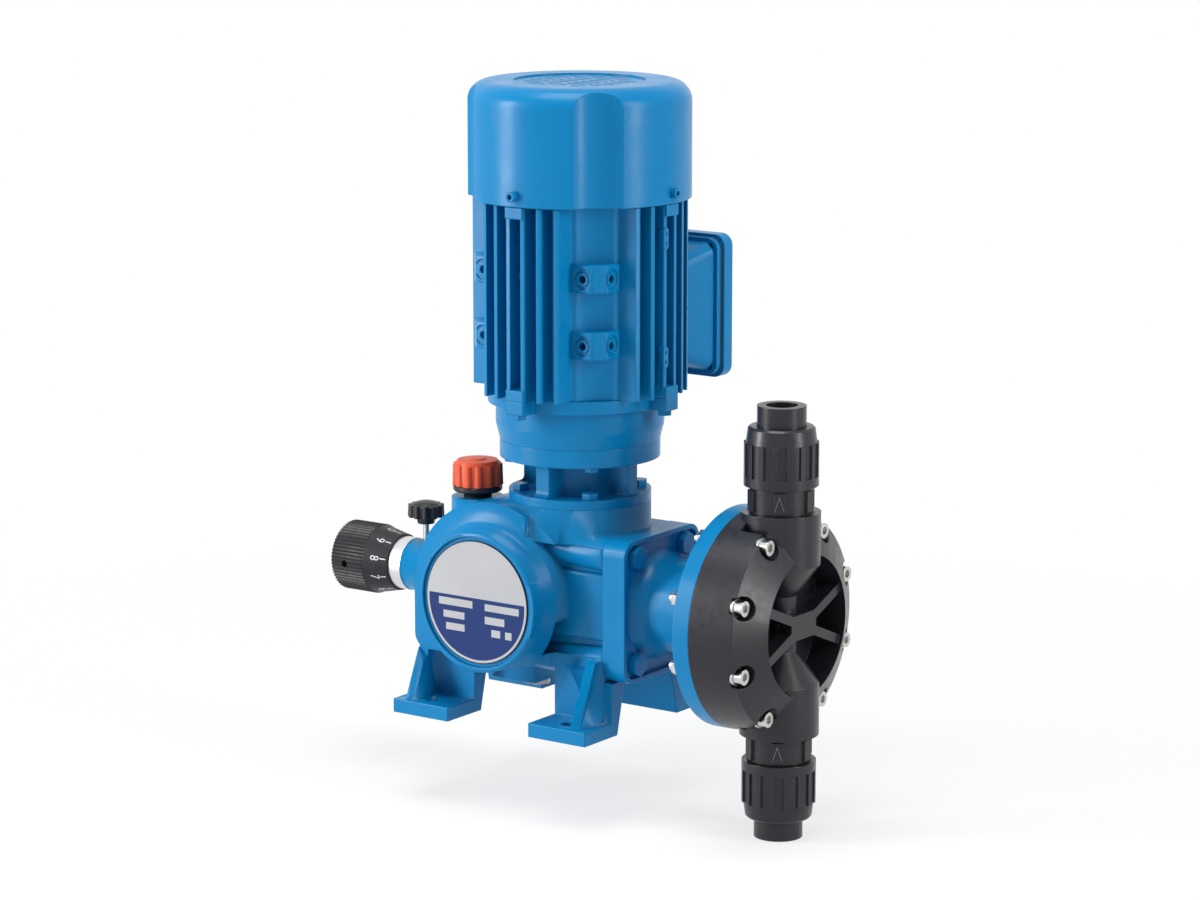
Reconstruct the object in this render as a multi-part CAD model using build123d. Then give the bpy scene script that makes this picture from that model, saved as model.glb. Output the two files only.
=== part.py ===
from build123d import *
from math import acos, atan, cos, degrees, pi, radians, sin, sqrt, tan
import os

# Diaphragm metering pump. A fan-cooled motor stands on a lantern and turns a worm and wheel in the gearbox.
# Two eccentrics on the wheel shaft push a yoke and rod, which flex a diaphragm in the plastic pump head.
# X runs along the pump axis to the head, Y points to the terminal box, Z is up.
# The origin is the centre of the four foot bolts, on the mounting plane.

# Clearances
running_gap = 0.05
sliding_gap = 0.3
seat_gap = 0.1
bolt_gap = 0.4
tooth_backlash = 0.3

# Fasteners, by thread radius
m4 = 2.0
m5 = 2.5
m6 = 3.0
m8 = 4.0
hex_flats_per_radius = 3.3
hex_head_per_radius = 1.35
socket_head_per_radius = 1.65
thread_engagement = 10.0

# Main axes
shaft_height = 81.0
gear_x = -10.8

# Worm and wheel
module = 1.5
worm_starts = 2
wheel_teeth = 30
worm_pitch_radius = 11.5
worm_length = 32.0
wheel_width = 14.0
wheel_hub_radius = 14.0
wheel_hub_width = 20.0
pressure_angle = 20.0
root_clearance = 0.2

# Feet
foot_pitch_x = 108.2
foot_pitch_y = 114.0
foot_length = 44.0
foot_edge = 12.6
foot_thickness = 9.0
foot_hole_radius = 4.5
foot_wall_y = 40.6
foot_wall_base = 33.8
foot_wall_top = 22.0
foot_gusset_thickness = 7.0
foot_gusset_top = 48.0
foot_gusset_lip = 4.0

# Gearbox casting
floor_height = 40.0
floor_thickness = 9.0
drum_radius = 62.0
drum_half_width = 57.0
drum_wall = 12.0
drum_flank = 7.0
drum_corner = 10.0
drum_edge_round = 7.0
rim_radius = 47.0
rim_half_width = 67.0
cover_radius = 42.5
cover_opening_radius = 38.0
cover_thickness = 7.0
rim_lip = 0.8
plate_radius = 40.0
plate_thickness = 0.8
motor_boss_radius = 45.7
motor_boss_top = 143.0
waist_half_width = 29.0
waist_panel_half_width = 32.5
waist_panel_half_height = 20.0
front_face_reach = 81.2
tunnel_radius = 25.0
neck_radius = 17.3
neck_end_x = -111.2
neck_bore_radius = 11.0
vent_boss_radius = 17.0
vent_boss_top = 139.8
vent_x = -41.0
vent_y = -24.0
vent_hole_radius = 9.0
drain_block_length = 34.0
drain_block_half_width = 26.0
drain_block_base = 22.0
drain_plug_radius = 6.0
drain_plug_flats = 15.0
drain_plug_head = 7.0

# Bearings
worm_bearing_outer = 26.0
worm_bearing_inner = 12.5
worm_bearing_width = 15.0
worm_bearing_base = 118.0
foot_bearing_outer = 16.0
foot_bearing_inner = 7.5
foot_bearing_width = 9.0
foot_bearing_base = 47.0
foot_bearing_boss = 19.0
shaft_bearing_outer = 17.5
shaft_bearing_inner = 7.5
shaft_bearing_width = 11.0
shaft_bearing_ledge = 3.0
race_thickness = 2.5
race_recess = 1.2
worm_seal_width = 7.0
worm_passage_radius = 20.0

# Eccentric, yoke, rod and spring
eccentricity = 2.5
eccentric_radius = 12.0
cam_ring_radius = 15.0
cam_inner_y = 12.5
cam_width = 9.0
wheel_shaft_radius = 8.0
yoke_inner_y = 15.5
yoke_thickness = 7.0
yoke_window_wall = 5.5
yoke_bridge_x = -42.0
yoke_bridge_thickness = 6.0
yoke_arm_half_height = 8.0
crosshead_start_x = 43.0
crosshead_thickness = 9.0
rod_radius = 8.0
rod_end_x = 150.0
rod_thread_radius = 5.0
spring_wire = 1.5
spring_radius = 12.5
spring_turns = 5.0

# Stroke adjustment
full_stroke = 5.0
stop_radius = 10.8
stop_rear_x = -64.0
spindle_radius = 8.0
spindle_tip_radius = 6.0
sleeve_radius = 17.6
sleeve_spigot = 6.0
sleeve_visible = 9.6
sleeve_hidden = 26.0
knob_end_x = -165.6
knob_cone_length = 18.0
knob_edge_radius = 18.8
knob_radius = 23.3
knob_end_wall = 9.0
knob_flutes = 24
knob_flute_depth = 0.9
knob_flute_radius = 1.6
knob_screw_radius = 2.5
lock_x = -102.0
lock_head_radius = 11.5
lock_head_base = 113.5
lock_head_height = 10.0
lock_hub_radius = 8.0
lock_lobes = 10
lock_lobe_radius = 2.2
lock_hub_base = 108.0

# Vent
vent_cap_radius = 16.6
vent_cap_height = 21.5
vent_cap_wall = 2.5
vent_cap_ribs = 12
vent_cap_rib = 1.0
vent_base_height = 4.6
vent_flange_radius = 16.0
vent_neck_radius = 10.5
vent_stem_depth = 9.0
vent_stem_rise = 12.0

# Lantern
lantern_top = 182.4
lantern_top_radius = 51.5
lantern_top_thickness = 11.4
lantern_foot_thickness = 6.0
lantern_tube_radius = 27.0
lantern_bore_radius = 22.0
lantern_rib_thickness = 10.0
lantern_rib_reach = 41.0
lantern_rib_flare = 4.5
lantern_spigot = 3.0
lantern_lower_bolts = 38.5
lantern_upper_bolts = 44.5
motor_shaft_radius = 7.0
motor_shaft_insert = 26.0
key_length = 20.0
key_width = 5.0
key_depth = 2.3

# Motor
shield_base_radius = 54.0
shield_ring_radius = 59.0
shield_ring_base = 206.5
shield_wall = 6.0
frame_base = 215.0
frame_top = 337.0
frame_core_radius = 58.0
diagonal_hollow_radius = 40.0
diagonal_hollow_depth = 3.0
frame_fin_radius = 69.5
fin_pitch = 11.0
fin_thickness = 3.0
fin_root = 42.0
fins_per_side = 6
corner_block_face = 50.0
corner_block_start = 33.0
corner_block_height = 17.0
corner_block_low = 251.0
corner_block_high = 293.0
corner_hole_offset = 38.0
corner_hole_depth = 8.0
corner_ridge = 5.0
lug_width = 13.0
lug_reach = 71.0
lug_start = 55.0
lug_bolt_circle = 65.5
lug_depth = 7.0
stator_radius = 52.0
stator_bore = 31.0
stator_base = 236.0
stator_length = 75.0
winding_length = 17.0
winding_outer = 45.0
winding_inner = 34.0
air_gap = 0.4
rotor_shaft_radius = 10.0
motor_bearing_outer = 17.5
motor_bearing_inner = 7.5
motor_bearing_width = 11.0
front_bearing_base = 190.0
rear_bearing_base = 341.0
rear_shield_radius = 67.0
rear_shield_height = 13.0
fan_radius = 60.0
fan_hub_radius = 14.0
fan_base = 362.0
fan_height = 24.0
fan_disc = 3.0
fan_blades = 6
fan_blade_thickness = 3.0

# Fan cover
cover_outer_radius = 71.0
cover_base = 337.4
cover_top = 411.0
cover_wall = 2.2
cover_round = 13.0
flute_radius = 30.0
flute_depth = 6.0
vent_field_radius = 42.0
vent_recess = 1.2
vent_slot_length = 14.0
vent_slot_width = 3.0
vent_slot_pitch = 8.0
cover_screw_height = 344.0

# Terminal box
box_center_z = 258.0
box_half_width = 42.0
box_back_half_width = 32.0
box_flange_half_width = 45.0
box_start_y = 61.0
box_pad_start = 50.0
box_flange_y = 90.0
box_flange_thickness = 4.0
box_wall = 3.0
box_corner = 8.0
gasket_thickness = 1.5
lid_half_width = 47.0
lid_thickness = 11.0
lid_wall = 3.0
lid_screw_offset = 39.5
terminal_width = 36.0
terminal_height = 22.0
terminal_depth = 12.0
stud_count = 6
gland_radius = 10.0
gland_flats = 24.0
gland_length = 20.0
gland_bore_radius = 5.0

# Diaphragm housing
square_half_width = 42.0
square_half_height = 46.0
square_thickness = 16.8
square_corner = 10.0
square_pocket_depth = 3.0
square_pocket_border = 3.0
square_bolt_y = 27.0
square_bolt_z = 34.5
lobe_radius = 11.0
flare_radius = 36.0
flare_length = 12.0
housing_neck_radius = 30.0
disc_radius = 70.5
disc_back_x = 142.5
disc_thickness = 11.7
bush_start_x = 84.0
bush_length = 16.0
bush_radius = 12.0
rod_seal_width = 6.0
back_chamber_radius = 21.0
diaphragm_chamber_radius = 40.0
diaphragm_chamber_depth = 4.0

# Pump head
head_band_length = 30.5
head_front_radius = 68.5
head_ring_rise = 11.5
head_recess_radius = 45.0
head_floor = 13.0
head_screw_circle = 62.7
head_screw_first_angle = 30.0
head_screw_step = 40.0
head_screws_per_side = 4
head_counterbore_radius = 7.6
head_screw_plane = 34.5
washer_radius = 6.0
washer_thickness = 1.6
head_nut_height = 5.0
valve_offset = 21.85
valve_boss_radius = 25.0
valve_boss_rise = 0.5
valve_boss_straight = 33.0
valve_boss_taper = 20.0
valve_column_radius = 10.7
valve_cut_depth = 19.0
valve_cut_start = 32.0
web_pad_half_width = 14.0
web_pad_half_height = 8.0
web_pad_depth = 2.6
web_arm_angle = 22.0
web_arm_thickness = 6.0
web_arm_depth = 9.0
dish_radius = 38.0
dish_depth = 8.0
flow_radius = 5.0
flow_height = 26.0
diaphragm_radius = 54.0
diaphragm_rim = 3.0
diaphragm_web = 2.0
diaphragm_hub_radius = 14.0
diaphragm_hub_front = 6.5

# Valves and unions
valve_spigot_radius = 14.5
valve_spigot_length = 12.0
valve_collar_radius = 20.0
valve_collar_length = 16.5
valve_lugs = 6
valve_lug_width = 7.0
valve_lug_rise = 1.6
valve_thread_radius = 18.0
valve_thread_length = 17.0
valve_bore_radius = 7.6
valve_outlet_radius = 5.0
seat_radius = 9.5
seat_length = 4.5
seat_bore_radius = 4.6
ball_radius = 6.3
ball_lift = 3.0
nut_radius = 22.2
nut_rib_rise = 1.2
nut_ribs = 16
nut_rib_width = 3.4
nut_length = 37.0
nut_band_length = 6.0
nut_collar_length = 16.0
union_length = 66.7
union_flange_radius = 17.0
union_flange_length = 4.5
union_radius = 15.4
union_bore_radius = 10.0
union_socket_length = 18.0
union_flow_radius = 7.5
ring_radius = 12.5
ring_section = 1.6
ring_squeeze = 0.1

# Sizes worked out from those above
wheel_pitch_radius = module * wheel_teeth / 2
motor_x = gear_x + worm_pitch_radius + wheel_pitch_radius
front_face_x = gear_x + front_face_reach
square_front_x = front_face_x + square_thickness
head_back_x = disc_back_x + disc_thickness
head_edge_x = head_back_x + head_band_length
head_ring_x = head_edge_x + head_ring_rise
valve_x = head_back_x + valve_offset
worm_lead = pi * module * worm_starts
lead_angle = degrees(atan(worm_lead / (2 * pi * worm_pitch_radius)))
cam_reach = cam_ring_radius + eccentricity
drum_floor = floor_height + floor_thickness
cavity_radius = drum_radius - drum_wall
cavity_half_width = drum_half_width - drum_flank
valve_base = disc_radius + valve_boss_rise

os.makedirs("parts", exist_ok=True)
BASE = (Align.CENTER, Align.CENTER, Align.MIN)
TURN = {"X": Rotation(0, 90, 0), "Y": Rotation(-90, 0, 0), "Z": Rotation(0, 0, 0)}
MOTOR = (motor_x, 0)
PUMP = (0, shaft_height)
GEAR = (gear_x, shaft_height)
ORIGIN = (0, 0)
HEX_SIDES = 6


# Shapes used throughout

def place(axis, start, across):
    """Location of a piece that starts at a coordinate of an axis; across is its centre in the other two."""
    first, second = across
    spot = {"X": (start, first, second), "Y": (first, start, second), "Z": (first, second, start)}[axis]
    return Pos(*spot) * TURN[axis]


def bar(axis, start, end, radius, across, hole=0):
    """Round bar, or a ring if it has a hole, from start to end along an axis."""
    solid = Cylinder(radius, end - start, align=BASE)
    if hole:
        solid -= Cylinder(hole, end - start, align=BASE)
    return place(axis, start, across) * solid


def turned(axis, outline, across):
    """Solid turned about an axis from (coordinate along it, radius) points."""
    profile = Plane.XZ * Polyline([(radius, along) for along, radius in outline], close=True)
    return place(axis, 0, across) * revolve(make_face(profile), Axis.Z)


def block(x, y, z):
    """Box between the two limits given for each axis."""
    middle = [(low + high) / 2 for low, high in (x, y, z)]
    return Pos(*middle) * Box(*(high - low for low, high in (x, y, z)))


def hexagon(axis, start, end, flats, across):
    """Hexagonal prism with its size across flats."""
    outline = RegularPolygon(flats / 2, HEX_SIDES, major_radius=False)
    return place(axis, start, across) * extrude(outline, end - start)


def span(start, length, toward):
    """Start and end, in rising order, of a length that runs from start towards plus or minus."""
    return (start, start + length) if toward > 0 else (start - length, start)


def hex_bolt(axis, seat, length, radius, across, toward):
    """Hex head bolt: its head stands on the seat towards plus or minus, with the shank the other way."""
    head = span(seat, hex_head_per_radius * radius, toward)
    solid = hexagon(axis, *head, hex_flats_per_radius * radius, across)
    return solid + bar(axis, *span(seat, length, -toward), radius, across)


def socket_screw(axis, seat, length, radius, across, toward):
    """Socket head screw with a hexagonal key hole in its head."""
    low, high = span(seat, 2 * radius, toward)
    head = bar(axis, low, high, socket_head_per_radius * radius, across)
    key = span(seat + toward * radius, 2 * radius, toward)
    head -= hexagon(axis, *key, socket_head_per_radius * radius, across)
    return head + bar(axis, *span(seat, length, -toward), radius, across)


def on_circle(radius, angle, center=(0, 0)):
    """Point on a circle, with the angle in degrees from the first axis."""
    return (center[0] + radius * cos(radians(angle)), center[1] + radius * sin(radians(angle)))


def mirrored(shape, plane=Plane.XZ):
    """The shape together with its mirror image."""
    return shape + mirror(shape, plane)


def write(name, *solids):
    """Writes one named piece, or a set of like pieces, as one file."""
    shape = solids[0] if len(solids) == 1 else Compound(children=list(solids))
    export_step(shape, f"parts/{name}.step")


DIAGONALS = (45, 135, 225, 315)
SIDES = (0, 90, 180, 270)


# Gearbox casting: a drum about the wheel shaft, a round seat for the lantern, a waist, four feet and a neck

def square_bolts_at():
    """Centres of the four bolts that hold the diaphragm housing on the gearbox."""
    heights = (shaft_height - square_bolt_z, shaft_height + square_bolt_z)
    return [(y, z) for y in (-square_bolt_y, square_bolt_y) for z in heights]


def foot():
    """Foot at the front left: plate, tapered wall up to the casting, and a gusset on the outer end."""
    x = (foot_pitch_x / 2 - foot_length / 2, foot_pitch_x / 2 + foot_length / 2)
    edge_y = foot_pitch_y / 2 + foot_edge
    plate = block(x, (-edge_y, -foot_wall_base), (0, foot_thickness))
    wall = Plane.YZ * Polyline(
        [
            (-foot_wall_y, 0),
            (-foot_wall_base, 0),
            (-foot_wall_top, drum_floor),
            (-foot_wall_y, drum_floor),
        ],
        close=True,
    )
    gusset = Plane.YZ * Polyline(
        [
            (-foot_wall_y, foot_thickness),
            (-edge_y + foot_gusset_lip, foot_thickness),
            (-foot_gusset_top, drum_floor),
            (-foot_wall_y, drum_floor),
        ],
        close=True,
    )
    solid = plate + Pos(x[0], 0, 0) * extrude(make_face(wall), foot_length)
    solid += Pos(x[1] - foot_gusset_thickness, 0, 0) * extrude(make_face(gusset), foot_gusset_thickness)
    return solid - bar("Z", 0, foot_thickness, foot_hole_radius, (foot_pitch_x / 2, -foot_pitch_y / 2))


def drum_solid(radius, half_width, bottom, corner):
    """Body about the wheel shaft: round above, square below with rounded lower corners."""
    depth = shaft_height - bottom
    outline = Circle(radius) + Pos(0, -depth / 2) * Rectangle(2 * radius, depth)
    outline = outline & Pos(0, (radius - depth) / 2) * Rectangle(2 * radius, radius + depth)
    lowest = outline.vertices().group_by(Axis.Y)[0]
    outline = fillet(lowest, corner)
    return Pos(gear_x, 0, shaft_height) * extrude(Plane.XZ * outline, half_width, both=True)


def waist():
    """Waist with four bolt lobes and a raised side panel, between the drum and the square front."""
    lobe_y = square_half_width - lobe_radius
    lobe_z = square_half_height - lobe_radius
    top = (shaft_height - square_half_height, shaft_height + square_half_height)
    x = (gear_x, front_face_x)
    solid = block(x, (-waist_half_width, waist_half_width), top)
    for y in (-lobe_y, lobe_y):
        for z in (shaft_height - lobe_z, shaft_height + lobe_z):
            solid += bar("X", *x, lobe_radius, (y, z))
    panel_z = (shaft_height - waist_panel_half_height, shaft_height + waist_panel_half_height)
    panel_y = (-waist_panel_half_width, waist_panel_half_width)
    return solid + block(x, panel_y, panel_z)


def gearbox_casting():
    drum = drum_solid(drum_radius, drum_half_width, floor_height, drum_corner)
    rims = drum.faces().filter_by(Axis.Y)
    drum = fillet([edge for face in rims for edge in face.edges()], drum_edge_round)
    solid = drum + bar("Y", -rim_half_width, rim_half_width, rim_radius, GEAR)
    solid += bar("Z", shaft_height, motor_boss_top, motor_boss_radius, MOTOR)
    solid += waist()
    for x_plane in (False, True):
        near = mirror(foot(), Plane.YZ) if x_plane else foot()
        solid += mirrored(near)
    flange_z = (shaft_height - square_half_height - sliding_gap, drum_floor)
    beyond = (front_face_x, foot_pitch_x / 2 + foot_length / 2)
    foot_y = foot_pitch_y / 2 + foot_edge
    solid -= block(beyond, (-foot_y, foot_y), flange_z)
    drain_x = (gear_x - drain_block_length / 2, gear_x + drain_block_length / 2)
    drain_y = (-drain_block_half_width, drain_block_half_width)
    solid += block(drain_x, drain_y, (drain_block_base, drum_floor))
    solid += bar("Z", shaft_height, vent_boss_top, vent_boss_radius, (vent_x, vent_y))
    solid += bar("X", neck_end_x, gear_x - cavity_radius, neck_radius, PUMP)
    solid -= drum_solid(cavity_radius, cavity_half_width, drum_floor, drum_corner)
    solid -= bar("Y", -rim_half_width, rim_half_width, cover_opening_radius, GEAR)
    ledge = rim_half_width - cover_thickness - plate_thickness - rim_lip
    for ends in ((-rim_half_width, -ledge), (ledge, rim_half_width)):
        solid -= bar("Y", *ends, cover_radius + seat_gap, GEAR)
    solid -= bar("X", gear_x, front_face_x, tunnel_radius, PUMP)
    solid -= bar("X", neck_end_x, gear_x, neck_bore_radius, PUMP)
    seal_base = worm_bearing_base + worm_bearing_width
    solid -= bar("Z", shaft_height, worm_bearing_base, worm_passage_radius, MOTOR)
    solid -= bar("Z", worm_bearing_base, motor_boss_top, worm_bearing_outer, MOTOR)
    solid += bar("Z", floor_height, foot_bearing_base + foot_bearing_width, foot_bearing_boss, MOTOR)
    solid -= bar("Z", foot_bearing_base, seal_base, foot_bearing_outer, MOTOR)
    solid -= bar("Z", shaft_height, vent_boss_top, vent_hole_radius + seat_gap, (vent_x, vent_y))
    solid -= bar("Z", drain_block_base, drum_floor, drain_plug_radius, (gear_x, 0))
    solid -= bar("Z", shaft_height, shaft_height + neck_radius, m4 + running_gap, (lock_x, 0))
    for spot in square_bolts_at():
        solid -= bar("X", front_face_x - thread_engagement, front_face_x, m8, spot)
    for angle in DIAGONALS:
        hole = on_circle(lantern_lower_bolts, angle, MOTOR)
        solid -= bar("Z", motor_boss_top - thread_engagement, motor_boss_top, m6, hole)
    return solid


write("gearbox_housing", gearbox_casting())


# Gearbox covers, rating plate, plugs and vent

def side_cover(toward):
    """Round cover in the rim, with a bearing seat on its inner face."""
    outer = rim_half_width - rim_lip - plate_thickness
    inner = outer - cover_thickness
    seat = inner - shaft_bearing_width - shaft_bearing_ledge
    solid = turned(
        "Y",
        [
            (outer, 0),
            (outer, cover_radius),
            (inner, cover_radius),
            (inner, cover_opening_radius - seat_gap),
            (inner - shaft_bearing_ledge, cover_opening_radius - seat_gap),
            (inner - shaft_bearing_ledge, shaft_bearing_outer + drum_flank),
            (seat, shaft_bearing_outer + drum_flank),
            (seat, shaft_bearing_outer),
            (seat + shaft_bearing_width, shaft_bearing_outer),
            (seat + shaft_bearing_width, 0),
        ],
        GEAR,
    )
    return solid if toward > 0 else mirror(solid, Plane.XZ)


plate_outer = rim_half_width - rim_lip
write("side_covers", side_cover(-1), side_cover(1))
write("rating_plate", bar("Y", -plate_outer, -plate_outer + plate_thickness, plate_radius, GEAR))


def drain_plug():
    head = hexagon("Z", drain_block_base - drain_plug_head, drain_block_base, drain_plug_flats, (gear_x, 0))
    return head + bar("Z", drain_block_base, drum_floor - thread_engagement, drain_plug_radius, (gear_x, 0))


def vent_base():
    """Black seat of the breather cap, with a hollow stem down into the casting."""
    top = vent_boss_top + vent_base_height
    middle = (vent_boss_top + top) / 2
    stem = vent_boss_top - vent_stem_depth
    inner = vent_hole_radius - vent_cap_wall
    crown = top + vent_stem_rise
    outline = [
        (stem, inner),
        (stem, vent_hole_radius),
        (vent_boss_top, vent_hole_radius),
        (vent_boss_top, vent_neck_radius),
        (middle, vent_neck_radius),
        (middle + vent_cap_rib, vent_flange_radius),
        (top, vent_flange_radius),
        (top, vent_hole_radius),
        (crown, vent_hole_radius),
        (crown, inner),
    ]
    return turned("Z", outline, (vent_x, vent_y))


def vent_cap():
    """Screw cap with upright grip ribs, open below around the stem of its seat."""
    base = vent_boss_top + vent_base_height
    spot = (vent_x, vent_y)
    solid = bar("Z", base, base + vent_cap_height, vent_cap_radius - vent_cap_rib, spot)
    top = solid.edges().group_by(Axis.Z)[-1]
    solid = chamfer(top, vent_cap_rib)
    width = pi * vent_cap_radius / vent_cap_ribs
    for index in range(vent_cap_ribs):
        turn = Pos(*spot, 0) * Rotation(0, 0, index * 360 / vent_cap_ribs)
        rib = block((vent_neck_radius, vent_cap_radius), (-width / 2, width / 2),
                    (base, base + vent_cap_height - vent_cap_wall))
        solid += turn * rib
    hollow = base + vent_stem_rise + sliding_gap
    solid -= bar("Z", base, hollow, vent_hole_radius + sliding_gap, spot)
    return solid


write("drain_plug", drain_plug())
write("vent_base", vent_base())
write("vent_cap", vent_cap())


# Worm, wheel and their shafts

def worm():
    """Two-start worm cut as a twisted cross-section, in one piece with its hollow shaft."""
    tip = worm_pitch_radius + module
    root = worm_pitch_radius - module * (1 + root_clearance)
    pitch = pi * module
    half_at_pitch = (pitch / 2 - tooth_backlash) / 2
    slope = tan(radians(pressure_angle))
    half_at_tip = half_at_pitch - (tip - worm_pitch_radius) * slope
    half_at_root = half_at_pitch + (worm_pitch_radius - root) * slope
    turn_per_length = 360 / worm_lead
    edges = []
    for start in range(worm_starts):
        middle = start * 360 / worm_starts
        tip_angle = half_at_tip * turn_per_length
        root_angle = half_at_root * turn_per_length
        mid_angle = (tip_angle + root_angle) / 2
        mid_radius = (tip + root) / 2
        rise = Spline(on_circle(root, middle - root_angle), on_circle(mid_radius, middle - mid_angle),
                      on_circle(tip, middle - tip_angle))
        crest = ThreePointArc(on_circle(tip, middle - tip_angle), on_circle(tip, middle),
                              on_circle(tip, middle + tip_angle))
        fall = Spline(on_circle(tip, middle + tip_angle), on_circle(mid_radius, middle + mid_angle),
                      on_circle(root, middle + root_angle))
        gap_end = middle + 360 / worm_starts - root_angle
        gap_middle = (middle + root_angle + gap_end) / 2
        floor = ThreePointArc(on_circle(root, middle + root_angle), on_circle(root, gap_middle),
                              on_circle(root, gap_end))
        edges += [rise, crest, fall, floor]
    section = make_face(edges).faces()[0]
    half = worm_length / 2
    first_angle = 90 - half * turn_per_length
    twisted = Solid.extrude_linear_with_rotation(
        section, (0, 0, 0), (0, 0, worm_length), worm_length * turn_per_length
    )
    return Pos(motor_x, 0, shaft_height - half) * Rotation(0, 0, first_angle) * twisted


def worm_shaft():
    """Worm in one piece with its shaft, which is bored above for the end of the motor shaft."""
    low = foot_bearing_base
    shoulder = low + foot_bearing_width + race_recess
    thread_low = shaft_height - worm_length / 2
    thread_high = shaft_height + worm_length / 2
    collar = worm_bearing_base - race_recess
    root = worm_pitch_radius - module * (1 + root_clearance)
    journal = worm_bearing_inner - running_gap
    outline = [
        (low, 0),
        (low, foot_bearing_inner - running_gap),
        (shoulder, foot_bearing_inner - running_gap),
        (shoulder, root),
        (thread_low, root),
        (thread_low, 0),
    ]
    upper = [
        (thread_high, 0),
        (thread_high, root),
        (thread_high + race_thickness, worm_pitch_radius),
        (collar, worm_pitch_radius),
        (collar, worm_bearing_inner + race_recess),
        (worm_bearing_base - running_gap, worm_bearing_inner + race_recess),
        (worm_bearing_base - running_gap, journal),
        (worm_top, journal),
        (worm_top, 0),
    ]
    solid = worm() + turned("Z", outline, MOTOR) + turned("Z", upper, MOTOR)
    solid -= bar("Z", worm_top - motor_shaft_insert, worm_top, motor_shaft_radius + running_gap, MOTOR)
    return solid - key_block()


def key_block():
    """Sunk key between the motor shaft and the worm shaft."""
    x = motor_x + motor_shaft_radius
    return block(
        (x - key_depth, x + key_depth),
        (-key_width / 2, key_width / 2),
        (worm_top - key_length, worm_top),
    )


def worm_wheel():
    """Wheel whose teeth lean by the lead angle of the worm."""
    tip = wheel_pitch_radius + module
    root = wheel_pitch_radius - module * (1 + root_clearance)
    base = wheel_pitch_radius * cos(radians(pressure_angle))

    def half_thickness(radius):
        turn = acos(base / max(radius, base))
        lean = tan(radians(pressure_angle)) - radians(pressure_angle) - tan(turn) + turn
        return radius * (pi / (2 * wheel_teeth) + lean) - tooth_backlash / 2

    levels = [(radius, half_thickness(radius)) for radius in (root, wheel_pitch_radius, tip)]
    start = root - module
    side = [(start, levels[0][1])] + levels
    outline = side + [(radius, -half) for radius, half in reversed(side)]
    tooth = extrude(make_face(Plane.XZ * Polyline(outline, close=True)), wheel_width, both=True)
    tooth = Rotation(-lead_angle, 0, 0) * tooth
    tooth &= block((0, tip + module), (-wheel_width / 2, wheel_width / 2), (-wheel_width, wheel_width))
    solid = bar("Y", -wheel_width / 2, wheel_width / 2, root, ORIGIN)
    solid += [Rotation(0, index * 360 / wheel_teeth, 0) * tooth for index in range(wheel_teeth)]
    solid = Pos(gear_x, 0, shaft_height) * solid
    solid += bar("Y", -wheel_hub_width / 2, wheel_hub_width / 2, wheel_hub_radius, GEAR)
    return solid - bar("Y", -wheel_hub_width / 2, wheel_hub_width / 2, wheel_shaft_radius, GEAR)


def eccentric(toward):
    """Eccentric disc on the wheel shaft, with its high side away from the pump head."""
    y = span(toward * cam_inner_y, cam_width, toward)
    disc = bar("Y", *y, eccentric_radius, (gear_x - eccentricity, shaft_height))
    return disc - bar("Y", *y, wheel_shaft_radius, GEAR)


def cam_ring(toward):
    """Bearing ring that rolls round an eccentric and carries the push of the yoke."""
    y = span(toward * cam_inner_y, cam_width, toward)
    return bar("Y", *y, cam_ring_radius, (gear_x - eccentricity, shaft_height), hole=eccentric_radius)


def wheel_shaft():
    end = rim_half_width - rim_lip - plate_thickness - cover_thickness - shaft_bearing_ledge
    journal = end - shaft_bearing_width
    return turned(
        "Y",
        [
            (-end, 0),
            (-end, shaft_bearing_inner - running_gap),
            (-journal, shaft_bearing_inner - running_gap),
            (-journal, wheel_shaft_radius),
            (journal, wheel_shaft_radius),
            (journal, shaft_bearing_inner - running_gap),
            (end, shaft_bearing_inner - running_gap),
            (end, 0),
        ],
        GEAR,
    )


def ball_bearing(axis, start, width, inner, outer, across):
    """Closed ball bearing: two races with recessed shields between them."""
    end = start + width
    return turned(
        axis,
        [
            (start, inner),
            (start, inner + race_thickness),
            (start + race_recess, inner + race_thickness),
            (start + race_recess, outer - race_thickness),
            (start, outer - race_thickness),
            (start, outer),
            (end, outer),
            (end, outer - race_thickness),
            (end - race_recess, outer - race_thickness),
            (end - race_recess, inner + race_thickness),
            (end, inner + race_thickness),
            (end, inner),
        ],
        across,
    )


worm_top = motor_boss_top - lantern_spigot / 2
write("worm_shaft", worm_shaft())
write("shaft_key", key_block())
write("worm_wheel", worm_wheel())
write("eccentrics", eccentric(-1), eccentric(1))
write("cam_rings", cam_ring(-1), cam_ring(1))
write("wheel_shaft", wheel_shaft())
write(
    "worm_bearings",
    ball_bearing("Z", worm_bearing_base, worm_bearing_width, worm_bearing_inner, worm_bearing_outer, MOTOR),
    ball_bearing("Z", foot_bearing_base, foot_bearing_width, foot_bearing_inner, foot_bearing_outer, MOTOR),
)
wheel_bearing_y = rim_half_width - rim_lip - plate_thickness - cover_thickness - shaft_bearing_ledge
wheel_bearing = (shaft_bearing_width, shaft_bearing_inner, shaft_bearing_outer, GEAR)
write(
    "wheel_bearings",
    ball_bearing("Y", -wheel_bearing_y, *wheel_bearing),
    ball_bearing("Y", wheel_bearing_y - shaft_bearing_width, *wheel_bearing),
)


# Yoke, rod, return spring and diaphragm

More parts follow.
